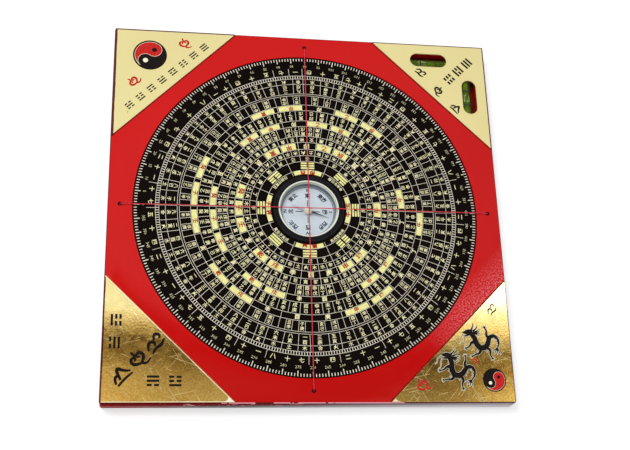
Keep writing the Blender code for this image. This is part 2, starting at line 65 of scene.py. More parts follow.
back = Vector(
    (
        math.sin(camera_side) * math.cos(camera_above),
        -math.cos(camera_side) * math.cos(camera_above),
        math.sin(camera_above),
    )
)
level = Vector((0, 0, 1)).cross(back).normalized()
upward = back.cross(level)
right = level * math.cos(camera_tilt) + upward * math.sin(camera_tilt)
top = upward * math.cos(camera_tilt) - level * math.sin(camera_tilt)
bpy.ops.object.camera_add()
camera = bpy.context.object
camera.name = "camera"
turned = Matrix((right, top, back)).transposed().to_4x4()
camera.matrix_world = Matrix.Translation(looks_at + back * camera_distance) @ turned
camera.data.sensor_width = sensor_width
camera.data.lens = photo_focal / photo_width * sensor_width
camera.data.shift_x = (photo_width / 2 - photo_centre[0]) / photo_width
camera.data.shift_y = (photo_centre[1] - photo_height / 2) / photo_width
camera.data.clip_start = 10 * mm
camera.data.clip_end = 10
bpy.context.scene.camera = camera
bpy.context.scene.view_settings.view_transform = "Standard"


# Floor and light
# A plain white sweep, a large soft lamp high on the left, and an even white room. Gloss and metal also
# show the room's darker ceiling overhead, and a small bright window to the right of it.
def linear(red, green, blue):
    """A colour as a screen shows it, 0 to 255, in the numbers that a shader takes."""
    parts = [part / 255 for part in (red, green, blue)]
    return tuple(part / 12.92 if part <= 0.04045 else ((part + 0.055) / 1.055) ** 2.4 for part in parts)


def shading(tree, kind, *terms):
    """A new step of a material. Each term is a step or a socket to link, or a value to set."""
    step = tree.nodes.new(kind)
    for socket, term in zip(step.inputs, terms):
        if isinstance(term, bpy.types.Node):
            term = term.outputs[0]
        if isinstance(term, bpy.types.NodeSocket):
            tree.links.new(term, socket)
        elif term is not None:
            socket.default_value = term
    return step


def reckon(tree, operation, *terms):
    """One step of arithmetic: each term is a socket or a number."""
    step = shading(tree, "ShaderNodeMath", *terms)
    step.operation = operation
    return step.outputs[0]


def rays(tree, *kinds):
    """A socket that is 1 for light of these kinds, and 0 for all other light."""
    light_path = tree.nodes.new("ShaderNodeLightPath")
    total = light_path.outputs[kinds[0]]
    for kind in kinds[1:]:
        total = reckon(tree, "MAXIMUM", total, light_path.outputs[kind])
    return total


white = (1, 1, 1, 1)
floor_size = 6.0
floor_grey = (0.86, 0.86, 0.86, 1)
floor_grey_seen = (0.62, 0.62, 0.62, 1)
floor_glow_seen = 0.50
bpy.ops.mesh.primitive_plane_add(size=floor_size)
floor = bpy.context.object
floor.name = "floor"
floor_paint = bpy.data.materials.new("floor_paint")
floor_paint.use_nodes = True
tree = floor_paint.node_tree
tree.nodes.clear()
matt = shading(tree, "ShaderNodeBsdfDiffuse", floor_grey)
matt_seen = shading(tree, "ShaderNodeBsdfDiffuse", floor_grey_seen)
glow_seen = shading(tree, "ShaderNodeEmission", white, floor_glow_seen)
seen = shading(tree, "ShaderNodeAddShader", matt_seen, glow_seen)
looked_at = rays(tree, "Is Camera Ray", "Is Glossy Ray", "Is Transmission Ray")
shading(tree, "ShaderNodeOutputMaterial", shading(tree, "ShaderNodeMixShader", looked_at, matt, seen))
floor.data.materials.append(floor_paint)


def ramp_along(tree, factor, stops):
    """Colours along a number from 0 to 1: each stop is (place, red, green, blue)."""
    ramp = shading(tree, "ShaderNodeValToRGB", factor)
    elements = ramp.color_ramp.elements
    elements[1].position = stops[-1][0]
    elements[1].color = (*stops[-1][1:], 1)
    elements[0].position = stops[0][0]
    elements[0].color = (*stops[0][1:], 1)
    for place, *colour in stops[1:-1]:
        elements.new(place).color = (*colour, 1)
    return ramp.outputs["Color"]


def greys_along(tree, factor, stops):
    """Greys along a number from 0 to 1: each stop is (place, grey)."""
    return ramp_along(tree, factor, [(place, grey, grey, grey) for place, grey in stops])


def fade(tree, value, start, end, low=0.0, high=1.0):
    """Goes evenly from low to high while the value goes from start to end, and no further."""
    return shading(tree, "ShaderNodeMapRange", value, start, end, low, high).outputs[0]


def reckon_each(tree, operation, *terms):
    """The step that does the same arithmetic on all three numbers of a place or a colour."""
    step = shading(tree, "ShaderNodeVectorMath", *terms)
    step.operation = operation
    return step


def whereabouts(tree, kind="Object"):
    """Where a point is, as three sockets: to the right, to the back and up."""
    place = tree.nodes.new("ShaderNodeTexCoord")
    return shading(tree, "ShaderNodeSeparateXYZ", place.outputs[kind]).outputs


room_strength = 0.60
room = bpy.data.worlds.new("room")
bpy.context.scene.world = room
room.use_nodes = True
tree = room.node_tree
tree.nodes.clear()
rightward, backward = whereabouts(tree, "Generated")[:2]

# The ceiling's tones are (place, grey, warmth), and the others are (place, grey).
ceiling_slant = 0.075
ceiling_line = reckon(tree, "MULTIPLY_ADD", rightward, ceiling_slant, backward)
ceiling_tones = ((0.216, 0.60, 0.87), (0.241, 0.48, 0.86), (0.253, 0.32, 0.80), (0.263, 0.10, 0.66))
ceiling_tones += ((0.283, 0.08, 0.66), (0.293, 0.24, 0.72), (0.305, 0.0, 0.8))
ceiling_stops = [(place, grey, grey * warmth, grey * warmth**3) for place, grey, warmth in ceiling_tones]
ceiling = ramp_along(tree, ceiling_line, ceiling_stops)
wall_tones = ((0.279, 0.0), (0.287, 0.40), (0.297, 1.15), (0.33, 0.94))
wall_tones += ((0.44, 0.94), (0.50, 0.80), (0.58, 0.72), (0.8, 0.6))
walls = greys_along(tree, ceiling_line, wall_tones)
ramp_shift = 0.1
side_tones = ((0.05, 0.72), (0.07, 0.65), (0.10, 0.5), (0.16, 0.48), (0.30, 0.36))
side_tones += ((0.35, 0.31), (0.37, 0.38), (0.385, 0.60), (0.40, 0.85), (0.43, 1.0))
across_ceiling = greys_along(tree, reckon(tree, "ADD", rightward, ramp_shift), side_tones)
ceiling_gain = (2, 2, 2)

window_place = (0.305, 0.312)
window_half = (0.045, 0.017)
window_strength = 4.0
window_core, window_rim = 0.6, 1.3
offsets = []
for along, place, half in zip((rightward, backward), window_place, window_half):
    offset = reckon(tree, "MULTIPLY", reckon(tree, "SUBTRACT", along, place), 1 / half)
    offsets.append(reckon(tree, "MULTIPLY", offset, offset))
window = fade(tree, reckon(tree, "ADD", *offsets), window_core, window_rim, window_strength, 0.0)
window.node.interpolation_type = "SMOOTHSTEP"

shaded = reckon_each(tree, "MULTIPLY", ceiling, across_ceiling)
overhead = reckon_each(tree, "MULTIPLY_ADD", shaded, ceiling_gain, walls)
mirrored = shading(tree, "ShaderNodeBackground", reckon_each(tree, "ADD", overhead, window))
even_light = shading(tree, "ShaderNodeBackground", white, room_strength)
by_gloss = shading(tree, "ShaderNodeMixShader", rays(tree, "Is Glossy Ray"), even_light, mirrored)
shown = shading(tree, "ShaderNodeBackground", white)
looked_at = rays(tree, "Is Camera Ray", "Is Transmission Ray")
shading(tree, "ShaderNodeOutputWorld", shading(tree, "ShaderNodeMixShader", looked_at, by_gloss, shown))

lamp_size = 0.8
lamp_power = 14.1
lamp_place = Vector((-0.60, 0.42, 1.40))
bpy.ops.object.light_add(type="AREA", location=lamp_place)
lamp = bpy.context.object
lamp.name = "soft_lamp"
lamp.visible_glossy = False
lamp.data.size = lamp_size
lamp.data.energy = lamp_power
lamp.rotation_mode = "QUATERNION"
lamp.rotation_quaternion = (-lamp_place).to_track_quat("-Z", "Y")


# Lacquered frame
# The upper layer of the board: fibreboard sprayed with thick red gloss lacquer, with a round recess for
# the dial, drilled thread holes and two milled pockets. It is glued on the layer below.
def pick(*pieces):
    """Selects these pieces and nothing else."""
    bpy.ops.object.select_all(action="DESELECT")
    for piece in pieces:
        piece.select_set(True)
    bpy.context.view_layer.objects.active = pieces[0]


def settle(name):
    """Names the piece just made, and moves its place, turn and size into its mesh."""
    piece = bpy.context.object
    piece.name = name
    piece.data.name = name
    pick(piece)
    bpy.ops.object.transform_apply(location=True, rotation=True, scale=True)
    return piece


def block(name, low, high):
    """A block from its low corner to its high corner."""
    bpy.ops.mesh.primitive_cube_add(size=1, location=(Vector(low) + Vector(high)) / 2)
    bpy.context.object.scale = Vector(high) - Vector(low)
    return settle(name)


def rod(name, radius, bottom, top, place=(0, 0), steps=48):
    """An upright round bar."""
    bpy.ops.mesh.primitive_cylinder_add(
        vertices=steps, radius=radius, depth=top - bottom, location=(place[0], place[1], (bottom + top) / 2)
    )
    return settle(name)


def cut(piece, cutter, operation="DIFFERENCE"):
    """Takes the cutter's shape out of a piece, or leaves only what lies in both."""
    modifier = piece.modifiers.new("cut", "BOOLEAN")
    modifier.operation = operation
    modifier.object = cutter
    modifier.solver = "EXACT"
    pick(piece)
    bpy.ops.object.modifier_apply(modifier="cut")
    bpy.data.objects.remove(cutter)


def finish(name, colour, roughness, metal=0.0, shine=0.5, coat=0.0):
    """A new material with one Principled shader. Returns the material, its tree and its shader."""
    material = bpy.data.materials.new(name)
    material.use_nodes = True
    shader = material.node_tree.nodes["Principled BSDF"]
    shader.inputs["Base Color"].default_value = (*linear(*colour), 1)
    shader.inputs["Roughness"].default_value = roughness
    shader.inputs["Metallic"].default_value = metal
    shader.inputs["Specular IOR Level"].default_value = shine
    shader.inputs["Coat Weight"].default_value = coat
    return material, material.node_tree, shader


def grain(tree, per_metre, detail=2.0, stretch=(1, 1, 1), turn=0.0):
    """Noise that stays on the piece, about that many blots to a metre."""
    place = tree.nodes.new("ShaderNodeTexCoord")
    size = [1 / times for times in stretch]
    mapping = shading(tree, "ShaderNodeMapping", place.outputs["Object"], None, (0, 0, turn), size)
    mapping.vector_type = "TEXTURE"
    return shading(tree, "ShaderNodeTexNoise", mapping, None, per_metre, detail).outputs["Fac"]


def tones_along(tree, factor, stops):
    """Screen colours along a number: each stop is (place from 0 to 1, colour)."""
    return ramp_along(tree, factor, [(place, *linear(*colour)) for place, colour in stops])


def colour_by(tree, shader, factor, *stops):
    """Colours the surface by a pattern: each stop is (place from 0 to 1, screen colour)."""
    colours = tones_along(tree, factor, stops)
    tree.links.new(colours, shader.inputs["Base Color"])
    return colours


def mottled(name, colour, roughness, blots, darker, paler, paler_at=0.7, **more):
    """A finish that drifts between two tones, in blots of (how many to a metre, detail)."""
    material, tree, shader = finish(name, colour, roughness, **more)
    colour_by(tree, shader, grain(tree, *blots), (0.3, darker), (paler_at, paler))
    return material, tree, shader


def mixed_in(tree, shader, below, mask, above):
    """Shows one coloured pattern over another wherever the mask is 1."""
    mix = tree.nodes.new("ShaderNodeMix")
    mix.data_type = "RGBA"
    for index, socket in ((0, mask), (6, below), (7, above)):
        tree.links.new(socket, mix.inputs[index])
    tree.links.new(mix.outputs[2], shader.inputs["Base Color"])
    return mix.outputs[2]


def laid_over(tree, shader, below, mask, colour):
    """Shows a screen colour over a coloured pattern wherever the mask is 1."""
    flat = tree.nodes.new("ShaderNodeRGB")
    flat.outputs[0].default_value = (*linear(*colour), 1)
    return mixed_in(tree, shader, below, mask, flat.outputs[0])


def roughness_by(tree, shader, factor, low, high):
    """Sets the roughness by a pattern, between low and high."""
    tree.links.new(fade(tree, factor, 0.3, 0.7, low, high), shader.inputs["Roughness"])


def relief_by(tree, shader, factor, height, under=None):
    """Raises the surface by a pattern, in metres. A coarser relief can lie under a finer one."""
    strength = 1.0
    bump = shading(tree, "ShaderNodeBump", strength, height, None, factor, under)
    tree.links.new(bump.outputs["Normal"], shader.inputs["Normal"])
    return bump.outputs["Normal"]


def wear(piece, material, body):
    """Gives a piece its material and its body."""
    piece.data.materials.clear()
    piece.data.materials.append(material)
    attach(piece, body)


def both(tree, *masks):
    """A mask that is 1 only where all of these are."""
    total = masks[0]
    for mask in masks[1:]:
        total = reckon(tree, "MULTIPLY", total, mask)
    return total


def away(tree, value, place):
    """How far a value is from a place, to either side."""
    return reckon(tree, "ABSOLUTE", reckon(tree, "SUBTRACT", value, place))


def marked(tree, value, more_than):
    """A mask that is 1 where a value is more than that."""
    return reckon(tree, "GREATER_THAN", value, more_than)


base_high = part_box("base_panel")[1]
disc_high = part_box("dial_disc")[1]
running_gap = 0.4 * mm
recess_radius = disc_high.x + running_gap
corner_round = 1.2 * mm
edge_round = 0.6 * mm
edge_shade = 0.5 * mm
front_skin = 0.2 * mm
arris_deep, arris_high = 0.45 * mm, 0.4 * mm
flecks_middle, flecks_reach = -40 * mm, 36 * mm
arris_highlight_reach = 46 * mm
hole_place = (recess_radius + half_side) / 2
hole_radius = 0.8 * mm
hole_rim = 0.35 * mm
smooth_angle = math.radians(35)
overrun = 1 * mm

red_metal, red_shine = 0.06, 0.22
blur = 0.2
red_lacquer, tree, shader = finish("red_lacquer", (200, 9, 9), 0.1, metal=red_metal, shine=red_shine)
reds = colour_by(tree, shader, grain(tree, 9, 3), (0.3, (197, 8, 8)), (0.7, (203, 12, 11)))
across, along, upright = whereabouts(tree)

# The red is darker to the front and to the right, as painted shade. Beside the front right plate there is a
# patch of painted pale glints, where the gloss is also blurred.
front_shade = fade(tree, along, -45 * mm, -100 * mm)
reds = laid_over(tree, shader, reds, front_shade, (186, 5, 6))
right_shade = fade(tree, across, 40 * mm, 90 * mm, 0.0, 0.45)
reds = laid_over(tree, shader, reds, right_shade, (186, 5, 12))
near_plate = fade(tree, reckon(tree, "SUBTRACT", across, along), 122 * mm, 142 * mm)
near_right = fade(tree, reckon(tree, "ADD", across, along), -14 * mm, 26 * mm)
glint_patch = both(tree, near_plate, near_right)
# Pale pink specks in this patch are painted glints of the lacquer's sparkle.
painted_glints = both(tree, glint_patch, fade(tree, grain(tree, 1100, 4), 0.45, 0.60, 0.0, 0.85))
reds = laid_over(tree, shader, reds, painted_glints, (228, 116, 122))

# Painted shade darkens the rounded edges. The front side turns pale grey to the right, with pale pink flecks
# left of its middle.
from_middle = reckon(tree, "MAXIMUM", away(tree, across, 0.0), away(tree, along, 0.0))
reds = laid_over(tree, shader, reds, marked(tree, from_middle, half_side - edge_shade), (104, 12, 16))
at_front = reckon(tree, "LESS_THAN", along, -half_side + front_skin)
front_side_tones = ((0.0, (128, 30, 34)), (0.3, (104, 50, 56)), (0.5, (126, 104, 112)), (1.0, (176, 168, 172)))
front_side_colours = tones_along(tree, fade(tree, across, -60 * mm, 90 * mm), front_side_tones)
reds = mixed_in(tree, shader, reds, at_front, front_side_colours)
at_left = reckon(tree, "LESS_THAN", away(tree, across, flecks_middle), flecks_reach)
pale_flecks = both(tree, at_front, at_left, marked(tree, grain(tree, 300, 3, stretch=(1, 1, 2)), 0.62))
reds = laid_over(tree, shader, reds, pale_flecks, (226, 164, 168))

# The front arris is painted dark as shade, with painted pink highlight patches along its middle.
on_front = reckon(tree, "LESS_THAN", along, -half_side + arris_deep)
on_arris = both(tree, on_front, marked(tree, upright, board_top - arris_high))
midway = reckon(tree, "LESS_THAN", away(tree, across, 0.0), arris_highlight_reach)
highlight_and_wear = both(tree, on_arris, midway, marked(tree, grain(tree, 160, 4, stretch=(1, 0.2, 0.2)), 0.42))
reds = laid_over(tree, shader, reds, on_arris, (84, 10, 14))
laid_over(tree, shader, reds, highlight_and_wear, (244, 168, 180))

# The front side is matt. The gloss is blurred in the patch of painted glints, and at the far right.
glossy = reckon(tree, "SUBTRACT", 1.0, at_front)
tree.links.new(reckon(tree, "MULTIPLY", glossy, red_metal), shader.inputs["Metallic"])
tree.links.new(reckon(tree, "MULTIPLY", glossy, red_shine), shader.inputs["Specular IOR Level"])
far_right = fade(tree, across, 70 * mm, 90 * mm)
blurred = reckon(tree, "MULTIPLY", reckon(tree, "MAXIMUM", glint_patch, far_right), blur)
polished = fade(tree, grain(tree, 60, 4), 0.3, 0.7, 0.07, 0.12)
tree.links.new(reckon(tree, "ADD", polished, blurred), shader.inputs["Roughness"])
waves = relief_by(tree, shader, grain(tree, 180, 1), 0.002 * mm)
relief_by(tree, shader, grain(tree, 1100, 2), 0.007 * mm, under=waves)


def bevel_edges(piece, width, steps, chosen):
    """Rounds the edges of a piece whose two ends pass a test."""
    pick(piece)
    bpy.ops.object.mode_set(mode="EDIT")
    bpy.ops.mesh.select_mode(type="EDGE")
    bpy.ops.mesh.select_all(action="DESELECT")
    bpy.ops.object.mode_set(mode="OBJECT")
    for edge in piece.data.edges:
        edge.select = chosen(*(piece.data.vertices[index].co for index in edge.vertices))
    bpy.ops.object.mode_set(mode="EDIT")
    bpy.ops.mesh.bevel(offset=width, segments=steps, affect="EDGES")
    bpy.ops.object.mode_set(mode="OBJECT")


lacquered_frame = block(
    "lacquered_frame", (-half_side, -half_side, base_high.z), (half_side, half_side, board_top)
)
bevel_edges(lacquered_frame, corner_round, 5, lambda foot, head: abs(foot.z - head.z) > overrun)
bevel_edges(lacquered_frame, edge_round, 4, lambda foot, head: min(foot.z, head.z) > board_top - overrun)

cut(lacquered_frame, rod("recess", recess_radius, base_high.z - overrun, board_top + overrun, steps=240))
hole_places = [(hole_place, 0), (0, hole_place), (-hole_place, 0), (0, -hole_place)]
for place in hole_places:
    cut(lacquered_frame, rod("hole", hole_radius, 0, board_top + overrun, place, 32))
    bpy.ops.mesh.primitive_cone_add(
        vertices=32,
        radius1=hole_radius,
        radius2=hole_radius + 2 * hole_rim,
        depth=2 * hole_rim,
        location=(place[0], place[1], board_top),
    )
    cut(lacquered_frame, settle("countersink"))

slots = {axis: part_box(f"vial_tube_{axis}") for axis in ("x", "y")}
tube_radius = (slots["x"][1].z - slots["x"][0].z) / 2
pocket_end = 0.4 * mm
pocket_wall = 0.3 * mm
pocket_width = 9.6 * mm
pocket_floor = slots["x"][0].z - pocket_wall


def pocket(axis):
    """The two corners of the room that a vial lies in, against the wall that is nearer the dial."""
    low, high = slots[axis]
    long_way, short_way = "xy".index(axis), "yx".index(axis)
    start, end = [0, 0, pocket_floor], [0, 0, board_top + overrun]
    start[long_way] = low[long_way] - pocket_end
    end[long_way] = high[long_way] + pocket_end
    start[short_way] = low[short_way] - pocket_wall
    end[short_way] = start[short_way] + pocket_width
    return start, end


for axis in slots:
    cut(lacquered_frame, block("pocket", *pocket(axis)))
bpy.ops.object.shade_smooth_by_angle(angle=smooth_angle)
wear(lacquered_frame, red_lacquer, "board")
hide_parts("frame_panel")

# The holes' bare drilled board is painted near black, as the shade inside the holes.
drilled_board_shade, tree, shader = mottled(
    "drilled_board_shade", (26, 18, 17), 0.85, (1200, 2), (20, 13, 12), (34, 24, 22), shine=0.2
)
lacquered_frame.data.materials.append(drilled_board_shade)
for face in lacquered_frame.data.polygons:
    if any((face.center.xy - Vector(place)).length < hole_radius + hole_rim for place in hole_places):
        face.material_index = 1

# The pockets' lower part is cut into the grey board, and is lined with a thin skin of red lacquer, painted
# darker as the pockets' shade.
skin = 0.1 * mm
skin_gap = 0.02 * mm
pocket_shade_red, tree, shader = mottled(
    "pocket_shade_red", (124, 22, 18), 0.45, (300, 3), (104, 16, 14), (142, 28, 22), shine=0.3
)
for axis in slots:
    start, end = (Vector(corner) for corner in pocket(axis))
    start += Vector((skin_gap, skin_gap, skin_gap))
    end -= Vector((skin_gap, skin_gap, 0))
    end.z = base_high.z + skin
    lining = block(f"pocket_lining_{axis}", start, end)
    inner_start = start + Vector((skin, skin, skin))
    inner_end = end - Vector((skin, skin, -overrun))
    cut(lining, block("inside", inner_start, inner_end))
    wear(lining, pocket_shade_red, "board")


# Base board
# The lower layer: hard fibreboard, sprayed thinly with dark grey primer and left matt, with some red
# overspray at the left. It carries the dial's bearing hole, its front side is paler in patches, and a
# painted shadow darkens the foot of its sides.
def dress(node, material):
    """Gives a CAD node a better material."""
    for place in nodes[node].material_slots:
        place.material = material


foot_shadow_height = 0.8 * mm
grey_primer, tree, shader = finish("grey_primer", (98, 94, 95), 0.6, shine=0.2)
fibres = grain(tree, 700, 3, stretch=(1, 1, 0.25))
greys = colour_by(tree, shader, fibres, (0.3, (86, 82, 83)), (0.7, (110, 106, 107)))
across, along, upright = whereabouts(tree)
greys = laid_over(tree, shader, greys, fade(tree, across, -50 * mm, -95 * mm), (150, 36, 42))
faces_front = reckon(tree, "LESS_THAN", along, -half_side + front_skin)
patchy = reckon(tree, "MULTIPLY_ADD", grain(tree, 120, 3), 0.5, 0.7)
pale_front_patches = both(tree, faces_front, patchy, fade(tree, across, -40 * mm, 70 * mm))
greys = laid_over(tree, shader, greys, pale_front_patches, (222, 216, 218))
# A painted shadow darkens the foot of the sides.
laid_over(tree, shader, greys, reckon(tree, "LESS_THAN", upright, foot_shadow_height), (84, 78, 82))
roughness_by(tree, shader, grain(tree, 90, 2), 0.45, 0.65)
relief_by(tree, shader, fibres, 0.03 * mm)
dress("base_panel", grey_primer)


# Corner plates
# Thin printed metal sheets, cut to triangles and glued on the lacquer. The two at the back are satin gold,
# painted pale cream for the bright reflection they show, and the two in front carry a crinkled gold foil.
def as_mesh(name, drawing):
    """Makes a curve into a mesh piece."""
    piece = bpy.data.objects.new(name, drawing)
    bpy.context.collection.objects.link(piece)
    pick(piece)
    bpy.ops.object.convert(target="MESH")
    return bpy.context.object


def clean_up():
    """Merges doubled points of the piece just made, and turns its faces outwards."""
    bpy.ops.object.mode_set(mode="EDIT")
    bpy.ops.mesh.select_all(action="SELECT")
    bpy.ops.mesh.remove_doubles(threshold=0.001 * mm)
    bpy.ops.mesh.normals_make_consistent(inside=False)
    bpy.ops.object.mode_set(mode="OBJECT")


def flat_shape(name, outlines, bottom, top, edge=0.0):
    """A flat sheet cut to outlines of (x, y) points. Outlines inside the first one are its holes."""
    drawing = bpy.data.curves.new(name, "CURVE")
    drawing.dimensions = "2D"
    drawing.fill_mode = "BOTH"
    drawing.extrude = (top - bottom) / 2 - edge
    drawing.bevel_depth = edge
    drawing.bevel_resolution = 1
    drawing.offset = -edge
    for outline in outlines:
        line = drawing.splines.new("POLY")
        line.points.add(len(outline) - 1)
        for point, (x, y) in zip(line.points, outline):
            point.co = (x, y, 0, 1)
        line.use_cyclic_u = True
    as_mesh(name, drawing).location.z = (bottom + top) / 2
    sheet = settle(name)
    clean_up()
    return sheet


def arc(centre, radius, start, end, steps):
    """Points on an arc, angles in turns."""
    points = []
    for step in range(steps + 1):
        angle = math.tau * (start + (end - start) * step / steps)
        points.append((centre[0] + radius * math.cos(angle), centre[1] + radius * math.sin(angle)))
    return points


def slot_outline(centre, length, width, turned):
    """A round-ended slot, along X or turned to lie along Y."""
    radius = width / 2
    reach = length / 2 - radius
    if turned:
        ends = (((centre[0], centre[1] + reach), 0.0), ((centre[0], centre[1] - reach), 0.5))
    else:
        ends = (((centre[0] + reach, centre[1]), -0.25), ((centre[0] - reach, centre[1]), 0.25))
    return [point for middle, start in ends for point in arc(middle, radius, start, start + 0.5, 14)]


plate_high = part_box("corner_plate_back_right")[1]
plate_inset = half_side - plate_high.x
plate_leg = 65.3 * mm
plate_top = plate_high.z
plate_edge = 0.1 * mm
plate_corner = 0.6 * mm
slot_length = 21.4 * mm
slot_width = 8.4 * mm
tube_across = slots["x"][0].y - pocket_wall + pocket_width / 2
tube_along = (slots["x"][0].x + slots["x"][1].x) / 2
slot_places = {"x": (tube_along, tube_across), "y": (tube_across, tube_along)}


def plate_outline(x_side, y_side):
    """A right-angled triangle with its square corner at the board's corner, and small round corners."""
    outer = half_side - plate_inset
    corners = [
        Vector((x_side * outer, y_side * outer)),
        Vector((x_side * (outer - plate_leg), y_side * outer)),
        Vector((x_side * outer, y_side * (outer - plate_leg))),
    ]
    outline = []
    for index, corner in enumerate(corners):
        before = (corners[index - 1] - corner).normalized()
        after = (corners[(index + 1) % 3] - corner).normalized()
        for share in (1.0, 0.35):
            outline.append(corner + before * plate_corner * share)
        for share in (0.35, 1.0):
            outline.append(corner + after * plate_corner * share)
    return [(point.x, point.y) for point in outline]


def sprayed_rim(tree, shader, below, at_left, elsewhere):
    """Painted shade along a plate's outer edges: a dark rim, wider along the board's left side."""
    ragged = 0.5 * mm
    across, along = whereabouts(tree)[:2]
    uneven = reckon(tree, "MULTIPLY_ADD", grain(tree, 160, 2), ragged, across)
    left = reckon(tree, "LESS_THAN", uneven, -half_side + at_left + ragged / 2)
    back_or_right = marked(tree, reckon(tree, "MAXIMUM", across, along), half_side - elsewhere)
    return laid_over(tree, shader, below, reckon(tree, "MAXIMUM", left, back_or_right), (84, 32, 32))


# The back plates' pale cream is a painted reflection of bright light on the gold.
reflection_pale_gold, tree, shader = finish("reflection_pale_gold", (233, 221, 157), 0.45, metal=0.25)
golds = colour_by(tree, shader, grain(tree, 14, 3), (0.3, (229, 216, 152)), (0.7, (236, 225, 161)))
golds = laid_over(tree, shader, golds, marked(tree, grain(tree, 330, 1), 0.83), (176, 160, 104))
sprayed_rim(tree, shader, golds, 1.5 * mm, 1.1 * mm)
roughness_by(tree, shader, grain(tree, 120, 3), 0.42, 0.50)
relief_by(tree, shader, grain(tree, 500, 2), 0.002 * mm)

gold_foil, tree, shader = finish("gold_foil", (238, 204, 112), 0.1, metal=1.0, coat=0.4)
clouds = reckon(tree, "MULTIPLY", grain(tree, 60, 4), 0.4)
glinting = reckon(tree, "MULTIPLY_ADD", grain(tree, 1000, 3), 0.6, clouds)
foil_tones = ((0.36, (222, 180, 90)), (0.5, (238, 202, 110)), (0.64, (252, 226, 142)))
golds = colour_by(tree, shader, glinting, *foil_tones)
# A painted highlight makes the foil paler towards the back of the front plates.
paler = fade(tree, whereabouts(tree)["Y"], -66 * mm, -55 * mm)
golds = laid_over(tree, shader, golds, paler, (246, 230, 158))
# Pale specks in the foil are painted glints.
golds = laid_over(tree, shader, golds, marked(tree, grain(tree, 750, 4), 0.68), (255, 240, 190))
roughness_by(tree, shader, grain(tree, 220, 3), 0.04, 0.10)
creases = relief_by(tree, shader, grain(tree, 75, 3, stretch=(1.5, 0.7, 1), turn=0.6), 0.012 * mm)
scratches = 0.0
for turn in (0.55, -0.7, 1.2, -1.35):
    streaks = marked(tree, grain(tree, 50, 1, stretch=(36, 1, 1), turn=turn), 0.73)
    scratches = reckon(tree, "MAXIMUM", scratches, streaks)
scratched = relief_by(tree, shader, scratches, 0.006 * mm, under=creases)
golds = laid_over(tree, shader, golds, reckon(tree, "MULTIPLY", scratches, 0.7), (255, 246, 206))
sprayed_rim(tree, shader, golds, 1.0 * mm, 0.8 * mm)
relief_by(tree, shader, grain(tree, 900, 4), 0.006 * mm, under=scratched)

for name, x_side, y_side, material, slot in (
    ("corner_plate_back_left", -1, 1, reflection_pale_gold, "satin_plate"),
    ("corner_plate_back_right", 1, 1, reflection_pale_gold, "satin_plate"),
    ("corner_plate_front_left", -1, -1, gold_foil, "foil_plate"),
    ("corner_plate_front_right", 1, -1, gold_foil, "foil_plate"),
):
    outlines = [plate_outline(x_side, y_side)]
    if name == "corner_plate_back_right":
        for axis, place in slot_places.items():
            outlines.append(slot_outline(place, slot_length, slot_width, axis == "y"))
    gold_name = name.replace("corner_plate", "gold_plate")
    plate = flat_shape(gold_name, outlines, board_top, plate_top, plate_edge)
    wear(plate, material, "board")
    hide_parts(name)


# A raised rim is pressed round each slot.
slot_rim = 0.45 * mm
slot_rim_height = 0.12 * mm
slot_rim_round = 0.04 * mm
for axis, place in slot_places.items():
    outlines = [
        slot_outline(place, slot_length + 2 * slot_rim, slot_width + 2 * slot_rim, axis == "y"),
        slot_outline(place, slot_length, slot_width, axis == "y"),
    ]
    rim = flat_shape(f"slot_rim_{axis}", outlines, plate_top, plate_top + slot_rim_height, slot_rim_round)
    wear(rim, reflection_pale_gold, "board")

# A painted dark shadow line lies along most of the plates' long edges. The front left plate's edges carry
# painted bright highlight lines, and the front plates are rubbed pale at their ends.
shadow_line_width = 0.8 * mm
highlight_width = 0.36 * mm
line_thickness = 0.05 * mm
shadow_line_paint, tree, shader = mottled(
    "shadow_line_paint", (116, 6, 3), 0.5, (300, 2), (100, 4, 2), (132, 8, 4), shine=0.05
)
edge_highlight_and_wear, tree, shader = mottled(
    "edge_highlight_and_wear", (246, 236, 206), 0.4, (300, 2), (232, 216, 170), (252, 246, 228), metal=0.2
)


def long_edge(x_side, y_side, inwards, outwards):
    """A strip along a plate's long edge, that far inside the plate and outside it."""
    far = half_side - plate_inset
    near = far - plate_leg + plate_corner * 0.5
    inner, outer = inwards * math.sqrt(2), -outwards * math.sqrt(2)
    outline = [(near + inner, far), (far, near + inner), (far, near + outer), (near + outer, far)]
    return [(x_side * x, y_side * y) for x, y in outline]


for corner_name, x_side, y_side in (("back_left", -1, 1), ("back_right", 1, 1), ("front_right", 1, -1)):
    outline = long_edge(x_side, y_side, 0, shadow_line_width)
    shadow_strip = flat_shape(f"painted_shadow_line_{corner_name}", [outline], board_top, board_top + line_thickness)
    wear(shadow_strip, shadow_line_paint, "board")
highlight_strip = long_edge(-1, -1, plate_edge + highlight_width, -plate_edge)
long_edge_highlight = flat_shape("long_edge_highlight", [highlight_strip], plate_top, plate_top + line_thickness)
wear(long_edge_highlight, edge_highlight_and_wear, "board")
near_edge = plate_inset + plate_edge - half_side
far_end = plate_leg - plate_corner - half_side
front_edge_highlight = [(near_edge + highlight_width, near_edge), (far_end, near_edge)]
front_edge_highlight += [(x, y + highlight_width * 0.8) for x, y in reversed(front_edge_highlight)]
front_edge_highlight = flat_shape("front_edge_highlight", [front_edge_highlight], plate_top, plate_top + line_thickness * 0.8)
wear(front_edge_highlight, edge_highlight_and_wear, "board")
